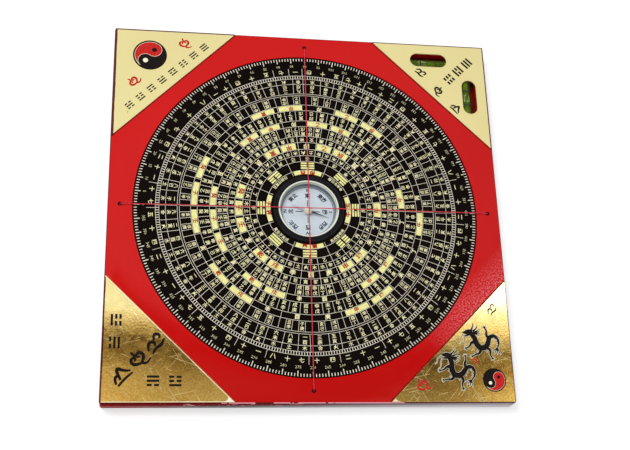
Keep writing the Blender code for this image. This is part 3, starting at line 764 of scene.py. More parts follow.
for side_name, x_side, rubbed_long, rubbed_high in (("left", -1, 5.6, 2.8), ("right", 1, 4.2, 1.6)):
    highlight_and_wear = [(0, 0), (-rubbed_high, rubbed_high)]
    highlight_and_wear += [(-rubbed_long * 0.6, rubbed_high * 0.3), (-rubbed_long, 0)]
    highlight_and_wear = [(-x_side * (far_end + plate_inset + x * mm), near_edge + y * mm) for x, y in highlight_and_wear]
    highlight_and_wear = flat_shape(f"rubbed_end_{side_name}", [highlight_and_wear], plate_top, plate_top + line_thickness / 2)
    wear(highlight_and_wear, edge_highlight_and_wear, "board")


# Prints on the plates
# Black and red ink, screen printed on the metal: two signs of yin and yang, rows of trigrams, brushed
# scrolls, hills and waves, and a pair of dragons with a pale line round them.
print_height = 0.03 * mm
plate_black, tree, shader = mottled(
    "plate_black", (22, 16, 14), 0.5, (900, 3), (16, 10, 9), (30, 24, 21), shine=0.1
)
plate_red, tree, shader = mottled(
    "plate_red", (192, 34, 30), 0.5, (900, 3), (182, 28, 25), (202, 42, 36), shine=0.15
)
plate_cream, tree, shader = mottled(
    "plate_cream", (240, 236, 208), 0.45, (900, 2), (234, 229, 198), (246, 242, 216)
)


def set_aside(piece):
    """Takes a finished small piece off the bench until its group is joined."""
    bpy.context.collection.objects.unlink(piece)
    return piece


def joined(name, pieces):
    """One piece out of several that were set aside."""
    for piece in pieces:
        bpy.context.collection.objects.link(piece)
    pick(*pieces)
    if len(pieces) > 1:
        bpy.ops.object.join()
    pieces[0].name = name
    pieces[0].data.name = name
    return pieces[0]


def stamped(model, placings):
    """Copies of a small model, one at each placing, each with its own mesh."""
    copies = []
    for placing in placings:
        copy = bpy.data.objects.new(model.name, model.data.copy())
        copy.data.transform(placing)
        copies.append(copy)
    return copies


ink_block = set_aside(block("ink_block", (-0.5, -0.5, 0), (0.5, 0.5, 1)))


def on_plate(x, y, turn=0.0, size=1.0):
    """Places a drawing on a plate, in millimetres and degrees."""
    spot = Matrix.Translation((x * mm, y * mm, plate_top))
    return spot @ Matrix.Rotation(math.radians(turn), 4, "Z") @ Matrix.Diagonal((size, size, 1, 1))


def trigram_bars(rows, placing, length, width, pitch, gap, height=print_height):
    """Three bars, one under the other. A bar that is 0 is broken in the middle."""
    bars = []
    for row, whole in enumerate(rows):
        reach = 0 if whole == "1" else gap
        half = length / 2 - reach
        for side in (-1, 1):
            shift = Matrix.Translation((side * (reach + half / 2), (1 - row) * pitch, 0))
            bars += stamped(ink_block, [placing @ shift @ Matrix.Diagonal((half, width, height, 1))])
    return bars


def brushed(strokes, placing, swell=0.0, height=print_height):
    """Ink brushed on in strokes that swell and thin out. A stroke is a list of (x, y, half its width)."""
    drawing = bpy.data.curves.new("brushed", "CURVE")
    drawing.dimensions = "3D"
    drawing.bevel_depth = 1
    drawing.bevel_resolution = 1
    drawing.use_fill_caps = True
    drawing.resolution_u = 3
    for stroke in strokes:
        line = drawing.splines.new("NURBS")
        line.points.add(len(stroke) - 1)
        line.order_u = 3
        line.use_endpoint_u = True
        for spot, (x, y, half) in zip(line.points, stroke):
            spot.co = (x, y, 0, 1)
            spot.radius = half + swell
    mark = as_mesh("brushed", drawing)
    widest = max(half for stroke in strokes for _, _, half in stroke) + swell
    mark.data.transform(placing @ Matrix.Diagonal((1, 1, height / widest, 1)))
    return set_aside(mark)


def mirrored_strokes(strokes):
    """The same strokes on the other side of the middle."""
    return [[(-x, y, half) for x, y, half in stroke] for stroke in strokes]


curl = [(0, -0.55, 0.06), (-0.42, -0.42, 0.11), (-0.74, 0, 0.12), (-0.5, 0.42, 0.10), (-0.12, 0.34, 0.08)]
curl += [(-0.14, 0.04, 0.06), (-0.38, 0.04, 0.04)]
scroll = [curl] + mirrored_strokes([curl])
scroll += [[(0, 0.3, 0.05), (0, 0.62, 0.12), (0, 0.92, 0.03)]]
scroll += [[(0, -0.5, 0.1), (0.1, -0.8, 0.09), (0.5, -0.95, 0.06), (0.95, -0.8, 0.02)]]
hills = [
    [(-0.95, -0.5, 0.06), (-0.5, 0.35, 0.12), (-0.2, -0.1, 0.08)],
    [(-0.35, -0.5, 0.07), (0.1, 0.9, 0.14), (0.5, -0.2, 0.10), (0.95, -0.5, 0.04)],
    [(-0.95, -0.75, 0.05), (0, -0.62, 0.11), (0.95, -0.8, 0.03)],
]
waves = [
    [(-0.95, -0.1, 0.04), (-0.5, 0.5, 0.11), (0, 0.35, 0.12), (0.05, -0.1, 0.08), (-0.2, -0.12, 0.05)],
    [(-0.85, -0.55, 0.04), (-0.2, -0.3, 0.11), (0.4, -0.6, 0.12), (0.95, -0.25, 0.03)],
    [(0.15, 0.3, 0.05), (0.5, 0.75, 0.11), (0.92, 0.5, 0.09), (0.85, 0.1, 0.06), (0.62, 0.15, 0.03)],
]

# The dragon's back runs from the neck to the tail. Spines stand along it, worked out from its points.
back_line = [(-0.58, 0.36, 0.12), (-0.36, 0.22, 0.13), (-0.24, -0.06, 0.14), (-0.02, -0.26, 0.15)]
back_line += [(0.26, -0.18, 0.14), (0.36, 0.1, 0.13), (0.34, 0.38, 0.11), (0.54, 0.56, 0.09)]
back_line += [(0.78, 0.46, 0.07), (0.92, 0.18, 0.045), (0.86, -0.06, 0.03)]
dragon = [back_line]
for before, (x, y, half), after in zip(back_line, back_line[1:], back_line[2:]):
    along = Vector((after[0] - before[0], after[1] - before[1])).normalized()
    for share in (0.0, 0.5):
        foot = Vector((x, y)).lerp(Vector(after[:2]), share)
        tip = foot + Vector((along.y, -along.x)) * (half + 0.09) - along * 0.05
        dragon.append([(foot.x, foot.y, 0.05), (tip.x, tip.y, 0.008)])
dragon += [
    [(-0.52, 0.42, 0.14), (-0.74, 0.42, 0.15), (-0.92, 0.3, 0.07), (-1.0, 0.32, 0.04)],
    [(-0.66, 0.3, 0.06), (-0.8, 0.16, 0.05), (-0.94, 0.14, 0.02)],
    [(-0.62, 0.52, 0.05), (-0.5, 0.74, 0.04), (-0.58, 0.92, 0.012)],
    [(-0.5, 0.5, 0.05), (-0.32, 0.68, 0.04), (-0.34, 0.86, 0.012)],
    [(-0.95, 0.22, 0.02), (-1.08, 0.02, 0.022), (-0.96, -0.16, 0.02), (-1.02, -0.3, 0.006)],
    [(-0.84, 0.12, 0.02), (-0.86, -0.08, 0.022), (-0.72, -0.2, 0.02), (-0.74, -0.36, 0.006)],
]
for turn in (-0.5, -0.1, 0.3, 0.7):
    tip = (-0.42 + 0.34 * math.cos(turn), 0.5 + 0.34 * math.sin(turn))
    dragon.append([(-0.5, 0.42, 0.06), (-0.3, 0.46 + 0.1 * turn, 0.045), (*tip, 0.008)])
legs = [
    [(-0.26, 0.02, 0.08), (-0.5, -0.06, 0.07), (-0.5, -0.3, 0.05), (-0.66, -0.42, 0.035)],
    [(0.04, -0.28, 0.09), (0.06, -0.54, 0.07), (-0.16, -0.6, 0.05), (-0.28, -0.74, 0.035)],
    [(0.3, -0.14, 0.09), (0.56, -0.22, 0.07), (0.52, -0.46, 0.05), (0.68, -0.6, 0.035)],
    [(0.36, 0.34, 0.08), (0.16, 0.46, 0.07), (0.2, 0.68, 0.05), (0.06, 0.82, 0.035)],
]
for leg in legs:
    dragon.append(leg)
    ankle, foot = Vector(leg[-2][:2]), Vector(leg[-1][:2])
    heading = math.atan2(*(foot - ankle).yx)
    for spread in (-0.9, -0.3, 0.3, 0.9, 2.6):
        reach = 0.15 if spread < 1 else 0.1
        tip = foot + Vector((math.cos(heading + spread), math.sin(heading + spread))) * reach
        dragon.append([(foot.x, foot.y, 0.035), (tip.x, tip.y, 0.008)])
for turn in (-2.6, -2.1, -1.6, -1.1):
    middle = (0.86 + 0.12 * math.cos(turn), -0.06 + 0.12 * math.sin(turn))
    tip = (0.86 + 0.34 * math.cos(turn + 0.25), -0.06 + 0.34 * math.sin(turn + 0.25))
    dragon.append([(0.86, -0.02, 0.03), (*middle, 0.05), (*tip, 0.008)])

black_prints = []
red_prints = []
cream_prints = []
row_start, row_end = Vector((-95.6, 57.4)), Vector((-56.2, 95.2))
row_turn = 43.8

# The bars of a trigram: their length, width, spacing, and half the gap in a broken one.
row_bars = (4.2 * mm, 0.72 * mm, 1.45 * mm, 0.4 * mm)
corner_bars = (5.3 * mm, 1.15 * mm, 1.95 * mm, 0.5 * mm)
edge_bars = (6.0 * mm, 1.15 * mm, 2.1 * mm, 0.55 * mm)
trigrams = ("010", "001", "100", "011", "101", "000", "110", "111")
for index, rows in enumerate(trigrams):
    spot = row_start.lerp(row_end, index / 7)
    black_prints += trigram_bars(rows, on_plate(*spot, row_turn), *row_bars)
for spot, turn in (((-94.0, 71.9), 70), ((-67.2, 97.1), 20)):
    red_prints.append(brushed(scroll, on_plate(*spot, turn, 3.6 * mm), 0.05))
for (x, y), rows in zip(((94.2, 93.4), (88.6, 88.1), (83.1, 82.6)), ("111", "101", "000")):
    black_prints += trigram_bars(rows, on_plate(x, y, -45), *corner_bars)
for (x, y), strokes in zip(((66.3, 86.1), (76.1, 74.9), (86.0, 64.3)), (waves, scroll, hills)):
    black_prints.append(brushed(strokes, on_plate(x, y, -45, 3.2 * mm), 0.06))
for (x, y), strokes in zip(((-95.6, -90.4), (-87.2, -82.8), (-78.9, -75.0)), (hills, scroll, waves)):
    black_prints.append(brushed(strokes, on_plate(x, y, 48, 5.2 * mm), 0.05))
for x, y, turn, rows in (
    (-98.2, -62.9, 90, "100"),
    (-98.6, -74.6, 90, "011"),
    (-79.4, -93.8, 0, "110"),
    (-68.6, -93.9, 0, "001"),
):
    black_prints += trigram_bars(rows, on_plate(x, y, turn), *edge_bars)
red_prints.append(brushed(scroll, on_plate(55.9, -96.0, 45, 4.0 * mm), 0.03))
red_prints.append(brushed(scroll, on_plate(84.6, -83.0, -45, 2.1 * mm), 0.03))
black_prints.append(brushed(waves, on_plate(95.8, -55.4, 45, 3.2 * mm), 0.02))
halo = 0.018
for x, y, turn, size in ((88.4, -73.6, -14, 10.6), (74.2, -88.0, -32, 10.8)):
    placing = on_plate(x, y, turn, size * mm)
    cream_prints.append(brushed(dragon, placing, halo, print_height * 0.3))
    black_prints.append(brushed(dragon, placing))


def disc(centre, radius, steps=40):
    """Points round a circle."""
    return arc(centre, radius, 0, 1 - 1 / steps, steps - 1)


def comma_outline(size, wider, side):
    """Half of a yin and yang sign, with its own edge moved out by wider."""
    comma = arc((0, 0), size + wider, 0, 0.5, 30)
    comma += arc((-size / 2, 0), size / 2 - wider, 0.5, 0, 15)
    comma += arc((size / 2, 0), size / 2 + wider, 0.5, 1, 15)[1:-1]
    return [(x, side * y) for x, y in comma]


def yin_yang(centre, radius, turn, side):
    """A black disc with a red comma let into it, whose head points at turn and tail runs round side."""
    inner = 0.89
    pale_line = 0.01
    spot = Matrix.Translation((centre[0] * mm, centre[1] * mm, 0))
    placing = spot @ Matrix.Rotation(math.radians(turn), 4, "Z") @ Matrix.Scale(radius * mm, 4)
    for group, outline, layers in (
        (black_prints, disc((0, 0), 1), 0.5),
        (cream_prints, comma_outline(inner, pale_line, side), 0.75),
        (red_prints, comma_outline(inner, -pale_line, side), 1.0),
        (black_prints, disc((inner / 2, 0), 0.15, 20), 1.5),
        (cream_prints, disc((-inner / 2, 0), 0.15, 20), 1.5),
    ):
        outline = [(placing @ Vector((x, y, 0)))[:2] for x, y in outline]
        group.append(set_aside(flat_shape("sign", [outline], plate_top, plate_top + print_height * layers)))


yin_yang((-85.6, 88.7), 9.2, 55, 1)
yin_yang((94.0, -93.2), 6.2, 34, -1)
wear(joined("plate_prints_black", black_prints), plate_black, "board")
wear(joined("plate_prints_red", red_prints), plate_red, "board")
wear(joined("plate_prints_cream", cream_prints), plate_cream, "board")


# Dial
# A thick turned disc under a thin black printed plate, on a ring of felt. The print is raised cream and
# yellow ink, with red characters on the yellow cells.
face_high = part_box("dial_face")[1]
face_top = face_high.z
ink_height = 0.03 * mm
line_height = 0.04 * mm
character_height = 0.06 * mm

matt_black, tree, shader = mottled(
    "matt_black", (40, 37, 36), 0.6, (300, 2), (34, 31, 31), (46, 43, 42), shine=0.2
)
dress("dial_disc", matt_black)
black_felt, tree, shader = finish("black_felt", (45, 44, 46), 0.95, shine=0.1)
relief_by(tree, shader, grain(tree, 2500, 3), 0.1 * mm)
dress("slip_washer", black_felt)
dial_black, tree, shader = mottled(
    "dial_black", (13, 8, 6), 0.32, (25, 4), (11, 6, 4), (17, 11, 9), shine=0.03
)
roughness_by(tree, shader, grain(tree, 45, 4), 0.26, 0.42)
relief_by(tree, shader, grain(tree, 400, 2), 0.003 * mm)
dress("dial_face", dial_black)

inks = {}
for name, colour, shine, blots, darker, paler in (
    ("cream_ink", (240, 233, 214), 0.2, (600, 2), (222, 214, 192), (246, 240, 224)),
    ("yellow_ink", (232, 228, 152), 0.2, (500, 2), (222, 217, 140), (236, 233, 160)),
    ("character_ink", (240, 234, 184), 0.2, (600, 2), (226, 219, 168), (246, 240, 194)),
    ("red_ink", (166, 38, 16), 0.1, (500, 2), (152, 30, 10), (176, 46, 22)),
):
    inks[name], tree, shader = mottled(name, colour, 0.5, blots, darker, paler, 0.65, shine=shine)


def on_dial(clockwise, radius, height=0.0, spread=0.0):
    """Places a drawing on the dial with its foot outwards. Degrees run clockwise from the left."""
    angle = math.radians(clockwise)
    place = Vector((-math.cos(angle) * radius, math.sin(angle) * radius, height))
    return Matrix.Translation(place) @ Matrix.Rotation(-angle - math.pi / 2 + spread, 4, "Z")


def printed_ring(inner, outer, height=ink_height, sweep=360, clockwise=0, steps=240):
    """A flat ring of ink, or a stretch of one. It is a small upright section spun round the centre."""
    bpy.ops.mesh.primitive_plane_add(
        size=1, rotation=(math.pi / 2, 0, 0), location=((inner + outer) / 2, 0, face_top + height / 2)
    )
    bpy.context.object.scale = (outer - inner, height, 1)
    ring = settle("ring")
    bpy.ops.object.mode_set(mode="EDIT")
    bpy.ops.mesh.select_all(action="SELECT")
    if sweep == 360:
        bpy.ops.mesh.delete(type="ONLY_FACE")
        bpy.ops.mesh.select_all(action="SELECT")
    bpy.ops.mesh.spin(steps=steps, angle=math.radians(sweep), center=(0, 0, 0), axis=(0, 0, 1))
    bpy.ops.object.mode_set(mode="OBJECT")
    clean_up()
    ring.data.transform(Matrix.Rotation(math.pi - math.radians(clockwise), 4, "Z"))
    return set_aside(ring)


def radial_lines(angles, inner, outer, width, slant=0.0):
    """Thin lines of ink that point at the dial's centre, or slant a little past it."""
    size = Matrix.Diagonal((width, outer - inner, line_height, 1))
    middle = (inner + outer) / 2
    return stamped(ink_block, [on_dial(angle, middle, face_top, slant) @ size for angle in angles])


def spokes(count, shift=0.0):
    """That many even angles, right round the dial."""
    return [shift + 360 * step / count for step in range(count)]


letters_cut = {}


def letter(character, heavier=0.0):
    """A character one metre high, made once, with its strokes a little heavier than the type's."""
    cut_as = (character, heavier)
    if cut_as not in letters_cut:
        bpy.ops.object.text_add()
        text = bpy.context.object
        text.data.body = character
        text.data.align_x = "CENTER"
        text.data.align_y = "CENTER"
        text.data.resolution_u = 1
        text.data.offset = heavier
        text.data.extrude = 0.5
        bpy.ops.object.convert(target="MESH")
        shape = settle("letter")
        bpy.ops.object.mode_set(mode="EDIT")
        bpy.ops.mesh.select_all(action="SELECT")
        bpy.ops.mesh.remove_doubles(threshold=0.0005)
        bpy.ops.object.mode_set(mode="OBJECT")
        letters_cut[cut_as] = shape.data.copy()
        bpy.data.objects.remove(shape)
    return letters_cut[cut_as]


def printed(character, placing, size, height=character_height, heavier=0.015):
    """A character printed at a place, of that height."""
    mark = bpy.data.objects.new("mark", letter(character, heavier).copy())
    raised = Matrix.Translation((0, 0, height / 2)) @ Matrix.Diagonal((size, size, height, 1))
    mark.data.transform(placing @ raised)
    return mark


def cell_characters(words, start, pitch, radii, size):
    """One word to a cell, its characters one under the other towards the dial's edge."""
    marks = []
    for index, word in enumerate(words):
        for character, radius in zip(word, radii):
            if character != " ":
                place = on_dial(start + pitch * index, radius, face_top)
                marks.append(printed(character, place, size))
    return marks


stems = "甲乙丙丁戊己庚辛壬癸"
branches = "子丑寅卯辰巳午未申酉戌亥"
mountains = "子癸丑艮寅甲卯乙辰巽巳丙午丁未坤申庚酉辛戌乾亥壬"
bright_mountains = (0, 1, 4, 5, 7, 8, 12, 15, 16, 20, 21, 23)
numerals = "一二三四五六七八九十"
elements = "木火土金水"
pairs = [stems[index % 10] + branches[index % 12] for index in range(60)]

# The printed rings' radii, from the dial's edge inwards.
dial_edge = face_high.x
ladder_top, ladder_foot = 80.6 * mm, 78.7 * mm
halfway = 75.4 * mm
double_outer, double_inner = 69.3 * mm, 68.2 * mm
heaven_top, heaven_foot = 62.4 * mm, 58.9 * mm
man_top, man_foot = 52.6 * mm, 49.1 * mm
star_top = 43.1 * mm
earth_top, earth_foot = 39.4 * mm, 35.2 * mm
stem_top, stem_foot = 31.5 * mm, 28.0 * mm
band_top, band_foot = 22.8 * mm, 20.4 * mm

line_width = 0.19 * mm
lines = []
cream_marks = []
yellow_marks = []
red_marks = []
yellow_cells = []

# The outer scale: degrees, with a figure at each fifth.
tick_top = dial_edge - 0.4 * mm
tick_foot = dial_edge - 2.0 * mm
long_tick_foot = dial_edge - 3.3 * mm
tick_width = 0.40 * mm
long_tick_width = 0.46 * mm
tick_overlap = 0.1 * mm
figure_circle = 86.8 * mm
figure_size = 2.2 * mm
lines += radial_lines(range(360), tick_foot, tick_top, tick_width)
lines += radial_lines(range(0, 360, 5), long_tick_foot, tick_foot + tick_overlap, long_tick_width)
for degrees in range(0, 360, 5):
    place = on_dial(degrees, figure_circle, face_top)
    yellow_marks.append(printed(str(degrees), place, figure_size, heavier=-0.012))

# The lodges: uneven divisions, with the degrees of each in numerals.
lodge_line_top = 85.2 * mm
lodge_circle = 83.3 * mm
lodge_size = 2.9 * mm
lodges = (8.8, 21.7, 28.6, 51.1, 60.2, 77.7, 83.7, 88.9, 105, 113.9, 128.1, 147.1, 166.3, 184.6)
lodges += (189.9, 204.6, 218.1, 233.5, 243.5, 260.2, 271.4, 286.6, 297.8, 315.9, 324.8, 342.9, 358.9)
lines += radial_lines(lodges, ladder_top, lodge_line_top, line_width)
for index, start in enumerate(lodges):
    end = lodges[index + 1] if index + 1 < len(lodges) else lodges[0] + 360
    room_for = 3 if end - start > 12 else 2 if end - start > 7 else 1
    for spot in range(room_for):
        angle = start + (end - start) * (spot + 0.5) / room_for
        character = "十" if spot == 1 else numerals[(index * 3 + spot * 5) % 9]
        cream_marks.append(printed(character, on_dial(angle, lodge_circle, face_top), lodge_size))

# The ladder and the rings of uneven cells inside it.
rung_width = 0.32 * mm
small_size = 2.45 * mm
uneven_circles = (73.8 * mm, 71.1 * mm)
lines += radial_lines(range(360), ladder_foot, ladder_top, rung_width)
for step in range(60):
    angle = step * 6 + 0.9 * math.sin(step * 2.4)
    slant = 0.05 * math.sin(step * 1.7)
    lines += radial_lines([angle], double_outer, ladder_foot, line_width, slant)
words = [elements[(step * 2) % 5] for step in range(60)]
yellow_marks += cell_characters(words, 3, 6, [(halfway + ladder_foot) / 2], small_size)
words = [branches[(step * 5) % 12] + numerals[(step * 7) % 9] for step in range(60)]
yellow_marks += cell_characters(words, 3, 6, uneven_circles, small_size)

# A hundred and twenty cells, five to each of the twenty-four directions.
lines += radial_lines(spokes(120), heaven_top, double_inner, line_width)
pair_circles = (66.6 * mm, 64.1 * mm)
pair_size = 2.2 * mm
for step in range(24):
    for cell, shift in ((1, 0), (3, 1)):
        words = [pairs[(step * 2 + shift) % 60]]
        start = step * 15 + cell * 3 + 1.5
        yellow_marks += cell_characters(words, start, 0, pair_circles, pair_size)

# Sixty cells, and seventy-two with a blank in each six.
lines += radial_lines(spokes(60), man_top, heaven_foot, line_width)
sixty_circles = (57.2 * mm, 54.4 * mm)
yellow_marks += cell_characters(pairs, 3, 6, sixty_circles, small_size)
lines += radial_lines(spokes(72), star_top, man_foot, line_width)
words = []
for step in range(72):
    words.append("  " if step % 6 == 2 else pairs[(step - (step + 3) // 6) % 60])
seventy_two_circles = (47.5 * mm, 44.7 * mm)
yellow_marks += cell_characters(words, 2.5, 5, seventy_two_circles, small_size)

# Small stars, and the two inner rings of characters.
lines += radial_lines(spokes(48), earth_top, star_top, line_width)
stars = "貪巨祿文廉武破輔弼"
words = [stars[step % 9] for step in range(48)]
star_size = 2.4 * mm
yellow_marks += cell_characters(words, 3.75, 7.5, [(earth_top + star_top) / 2], star_size)
lines += radial_lines(spokes(48), stem_top, earth_foot, line_width)
words = [elements[step % 5] for step in range(48)]
yellow_marks += cell_characters(words, 3.75, 7.5, [(stem_top + earth_foot) / 2], small_size)
lines += radial_lines(spokes(24, 7.5), stem_foot, stem_top, line_width)
words = [stems[(step * 3) % 10] for step in range(24)]
yellow_marks += cell_characters(words, 0, 15, [(stem_foot + stem_top) / 2], small_size)

# Three rings of the twenty-four directions, each set a little round from the next.
cell_gap = 0.3 * mm
cell_sweep, cell_start = 12.4, -6.9
for outer, inner, shift in (
    (heaven_top, heaven_foot, 7.5),
    (man_top, man_foot, -7.5),
    (earth_top, earth_foot, 0),
):
    lines += radial_lines(spokes(24, shift - 7.5), inner, outer, line_width)
    bright_cell = printed_ring(inner + cell_gap, outer - cell_gap, ink_height, cell_sweep, cell_start, 6)
    for index, name in enumerate(mountains):
        middle = index * 15 + shift
        place = on_dial(middle - 0.4, (inner + outer) / 2, face_top)
        mark = printed(name, place, (outer - inner) * 0.80, heavier=0.03)
        if index in bright_mountains:
            red_marks.append(mark)
            turn = Matrix.Rotation(math.radians(-middle), 4, "Z")
            yellow_cells += stamped(bright_cell, [turn])
        else:
            yellow_marks.append(mark)

# The eight trigrams, their first line nearest the centre, and the band round the capsule.
bar_length = 7.3 * mm
bar_width = 1.0 * mm
bar_pitch = 1.45 * mm
bar_gap = 0.45 * mm
trigram_circle = 25.4 * mm
band_circle = (band_top + band_foot) / 2
for index, rows in enumerate(trigrams):
    place = on_dial(index * 45, trigram_circle, face_top)
    yellow_cells += trigram_bars(rows, place, bar_length, bar_width, bar_pitch, bar_gap, ink_height)
lines += radial_lines(spokes(8, 22.5), band_foot, stem_foot, line_width)
band_sweep = 40
band_step = 5.4
band_large, band_small = 2.7 * mm, 1.9 * mm
for quarter in range(4):
    start = quarter * 90 - band_sweep / 2
    yellow_cells.append(printed_ring(band_foot, band_top, ink_height, band_sweep, start, 14))
    for character, turn in (("東南西北"[quarter - 3], -7), (mountains[quarter * 6], 7)):
        place = on_dial(quarter * 90 + turn, band_circle, face_top)
        red_marks.append(printed(character, place, band_large, heavier=0.05))
    for spot in range(-2, 3):
        name = branches[(quarter * 3 + 3 + spot) % 12]
        place = on_dial(quarter * 90 + 45 + spot * band_step, band_circle, face_top)
        yellow_marks.append(printed(name, place, band_small, heavier=0.02))

ring_lines = (ladder_top, ladder_foot, halfway, double_outer, double_inner, heaven_top, heaven_foot, man_top)
ring_lines += (man_foot, star_top, earth_top, earth_foot, stem_top, stem_foot, band_top)
for radius in ring_lines:
    lines.append(printed_ring(radius - line_width / 2, radius + line_width / 2, line_height))

for name, marks, ink in (
    ("dial_lines", lines, "cream_ink"),
    ("dial_figures", cream_marks, "character_ink"),
    ("dial_characters", yellow_marks, "character_ink"),
    ("dial_red_characters", red_marks, "red_ink"),
    ("dial_yellow_cells", yellow_cells, "yellow_ink"),
):
    wear(joined(name, marks), inks[ink], "dial")


# Capsule
# A turned black plastic cup with a flange, an ivory ring pressed into it, a printed card at its bottom
# and a clear pane on top. A round bead runs along the rim.
capsule_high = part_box("capsule_housing")[1]
card_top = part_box("compass_card")[1].z
bead_circle = 17.0 * mm
bead_radius = 0.35 * mm
bead_proud = 0.1 * mm

black_plastic, tree, shader = mottled(
    "black_plastic", (20, 20, 24), 0.24, (150, 2), (15, 15, 19), (25, 26, 30), shine=0.12
)
roughness_by(tree, shader, grain(tree, 300, 3), 0.2, 0.38)
relief_by(tree, shader, grain(tree, 700, 2), 0.004 * mm)
dress("capsule_housing", black_plastic)
bpy.ops.mesh.primitive_torus_add(
    major_radius=bead_circle,
    minor_radius=bead_radius,
    major_segments=120,
    minor_segments=10,
    location=(0, 0, capsule_high.z + bead_proud - bead_radius),
)
bead = settle("capsule_bead")
bpy.ops.object.shade_smooth()
wear(bead, black_plastic, "dial")

liner_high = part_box("capsule_liner")[1]
wall_spread = 3.4 * mm
ivory_plastic, tree, shader = finish("ivory_plastic", (232, 234, 228), 0.38)
place = tree.nodes.new("ShaderNodeTexCoord")
level_only = reckon_each(tree, "MULTIPLY", place.outputs["Object"], (1, 1, 0))
outwards = reckon_each(tree, "LENGTH", level_only).outputs["Value"]
# The inner wall is painted in grey bands as the shade inside the cup, darkest towards the card.
across_wall = fade(tree, outwards, liner_high.x - wall_spread, liner_high.x)
painted_wall_shade = ((0.30, (78, 84, 96)), (0.37, (150, 158, 164)), (0.47, (176, 183, 189)), (0.52, (92, 98, 110)))
painted_wall_shade += ((0.60, (104, 110, 120)), (0.66, (192, 198, 197)), (0.74, (230, 232, 217)))
colour_by(tree, shader, reckon(tree, "MULTIPLY_ADD", grain(tree, 90, 3), 0.04, across_wall), *painted_wall_shade)
roughness_by(tree, shader, grain(tree, 200, 2), 0.3, 0.5)
dress("capsule_liner", ivory_plastic)

card_stock, tree, shader = mottled(
    "card_stock", (222, 226, 234), 0.62, (180, 4), (218, 222, 231), (226, 230, 238), shine=0.3
)
relief_by(tree, shader, grain(tree, 1500, 3), 0.01 * mm)
dress("compass_card", card_stock)


def clear(name, colour, ior, stain=(0, 0, 0), stained=0.0):
    """A pane or wall that is seen straight through, mirrors more at a slant, and can be stained a little."""
    material = bpy.data.materials.new(name)
    material.use_nodes = True
    tree = material.node_tree
    tree.nodes.clear()
    through = shading(tree, "ShaderNodeBsdfTransparent", (*linear(*colour), 1))
    murk = shading(tree, "ShaderNodeBsdfDiffuse", (*linear(*stain), 1))
    body = shading(tree, "ShaderNodeMixShader", stained, through, murk)
    mirror = shading(tree, "ShaderNodeBsdfGlossy", None, 0.04)
    slant = shading(tree, "ShaderNodeFresnel", ior)
    shading(tree, "ShaderNodeOutputMaterial", shading(tree, "ShaderNodeMixShader", slant, body, mirror))
    return material


dress("capsule_glass", clear("clear_pane", (252, 254, 254), 1.2))

card_ink, tree, shader = mottled(
    "card_ink", (30, 32, 44), 0.6, (900, 2), (24, 26, 38), (40, 42, 56), shine=0.1
)
card_marks = []


def on_card(clockwise, radius, across=0.0):
    """Places a drawing on the card with its head outwards, and shifted sideways by across."""
    flip = Matrix.Rotation(math.pi, 4, "Z") @ Matrix.Translation((across, 0, 0))
    return on_dial(clockwise, radius, card_top) @ flip


card_line = Matrix.Diagonal((0.44 * mm, 3.8 * mm, ink_height, 1))
line_circle = 4.7 * mm
name_circle, name_size = 9.0 * mm, 2.9 * mm
initial_circle, initial_size = 12.2 * mm, 2.5 * mm
between_circle, between_size, between_shift = 11.0 * mm, 2.8 * mm, 1.4 * mm
border_inner, border_outer = 13.9 * mm, 14.1 * mm
for quarter, (name, initial) in enumerate(zip("北東南西", "NESW")):
    card_marks += stamped(ink_block, [on_card(quarter * 90, line_circle) @ card_line])
    for character, circle, size in ((name, name_circle, name_size), (initial, initial_circle, initial_size)):
        card_marks.append(printed(character, on_card(quarter * 90, circle), size, ink_height, 0.03))
for quarter, name in enumerate(("東北", "東南", "西南", "西北")):
    for character, across in zip(name, (-between_shift, between_shift)):
        place = on_card(quarter * 90 + 45, between_circle, across)
        card_marks.append(printed(character, place, between_size, ink_height, 0.03))
border = printed_ring(border_inner, border_outer, ink_height, steps=96)
border.data.transform(Matrix.Translation((0, 0, card_top - face_top)))
card_marks.append(border)
wear(joined("card_print", card_marks), card_ink, "dial")

spring_steel, tree, shader = finish("spring_steel", (150, 150, 154), 0.3, metal=1.0)
roughness_by(tree, shader, grain(tree, 400, 2, stretch=(1, 1, 6)), 0.22, 0.42)
dress("retaining_ring", spring_steel)


# Needle
# A thin steel blade, blued at its head and left bright at its tail, on a cream-gold cap which turns on a
# bright steel point.
head_turn = math.radians(-20)
towards_head = (math.cos(head_turn), math.sin(head_turn), 0)
blade_steel, tree, shader = finish("blade_steel", (62, 64, 74), 0.35, metal=0.4)
place = tree.nodes.new("ShaderNodeTexCoord")
headwards = reckon_each(tree, "DOT_PRODUCT", place.outputs["Object"], towards_head).outputs["Value"]
at_head = reckon(tree, "MULTIPLY", marked(tree, headwards, 0.0), 0.8)
speckled = reckon(tree, "MULTIPLY_ADD", grain(tree, 500, 2), 0.2, at_head)
colour_by(tree, shader, speckled, (0.1, (206, 210, 218)), (0.5, (150, 154, 164)), (0.85, (40, 42, 52)))
dress("needle_blade", blade_steel)
cap_gold, tree, shader = mottled(
    "cap_gold", (255, 238, 212), 0.4, (700, 2), (252, 232, 202), (255, 244, 222)
)
dress("needle_cap", cap_gold)
bright_steel, tree, shader = finish("bright_steel", (180, 180, 184), 0.18, metal=1.0)
roughness_by(tree, shader, grain(tree, 900, 2), 0.12, 0.26)
dress("pivot_pin", bright_steel)


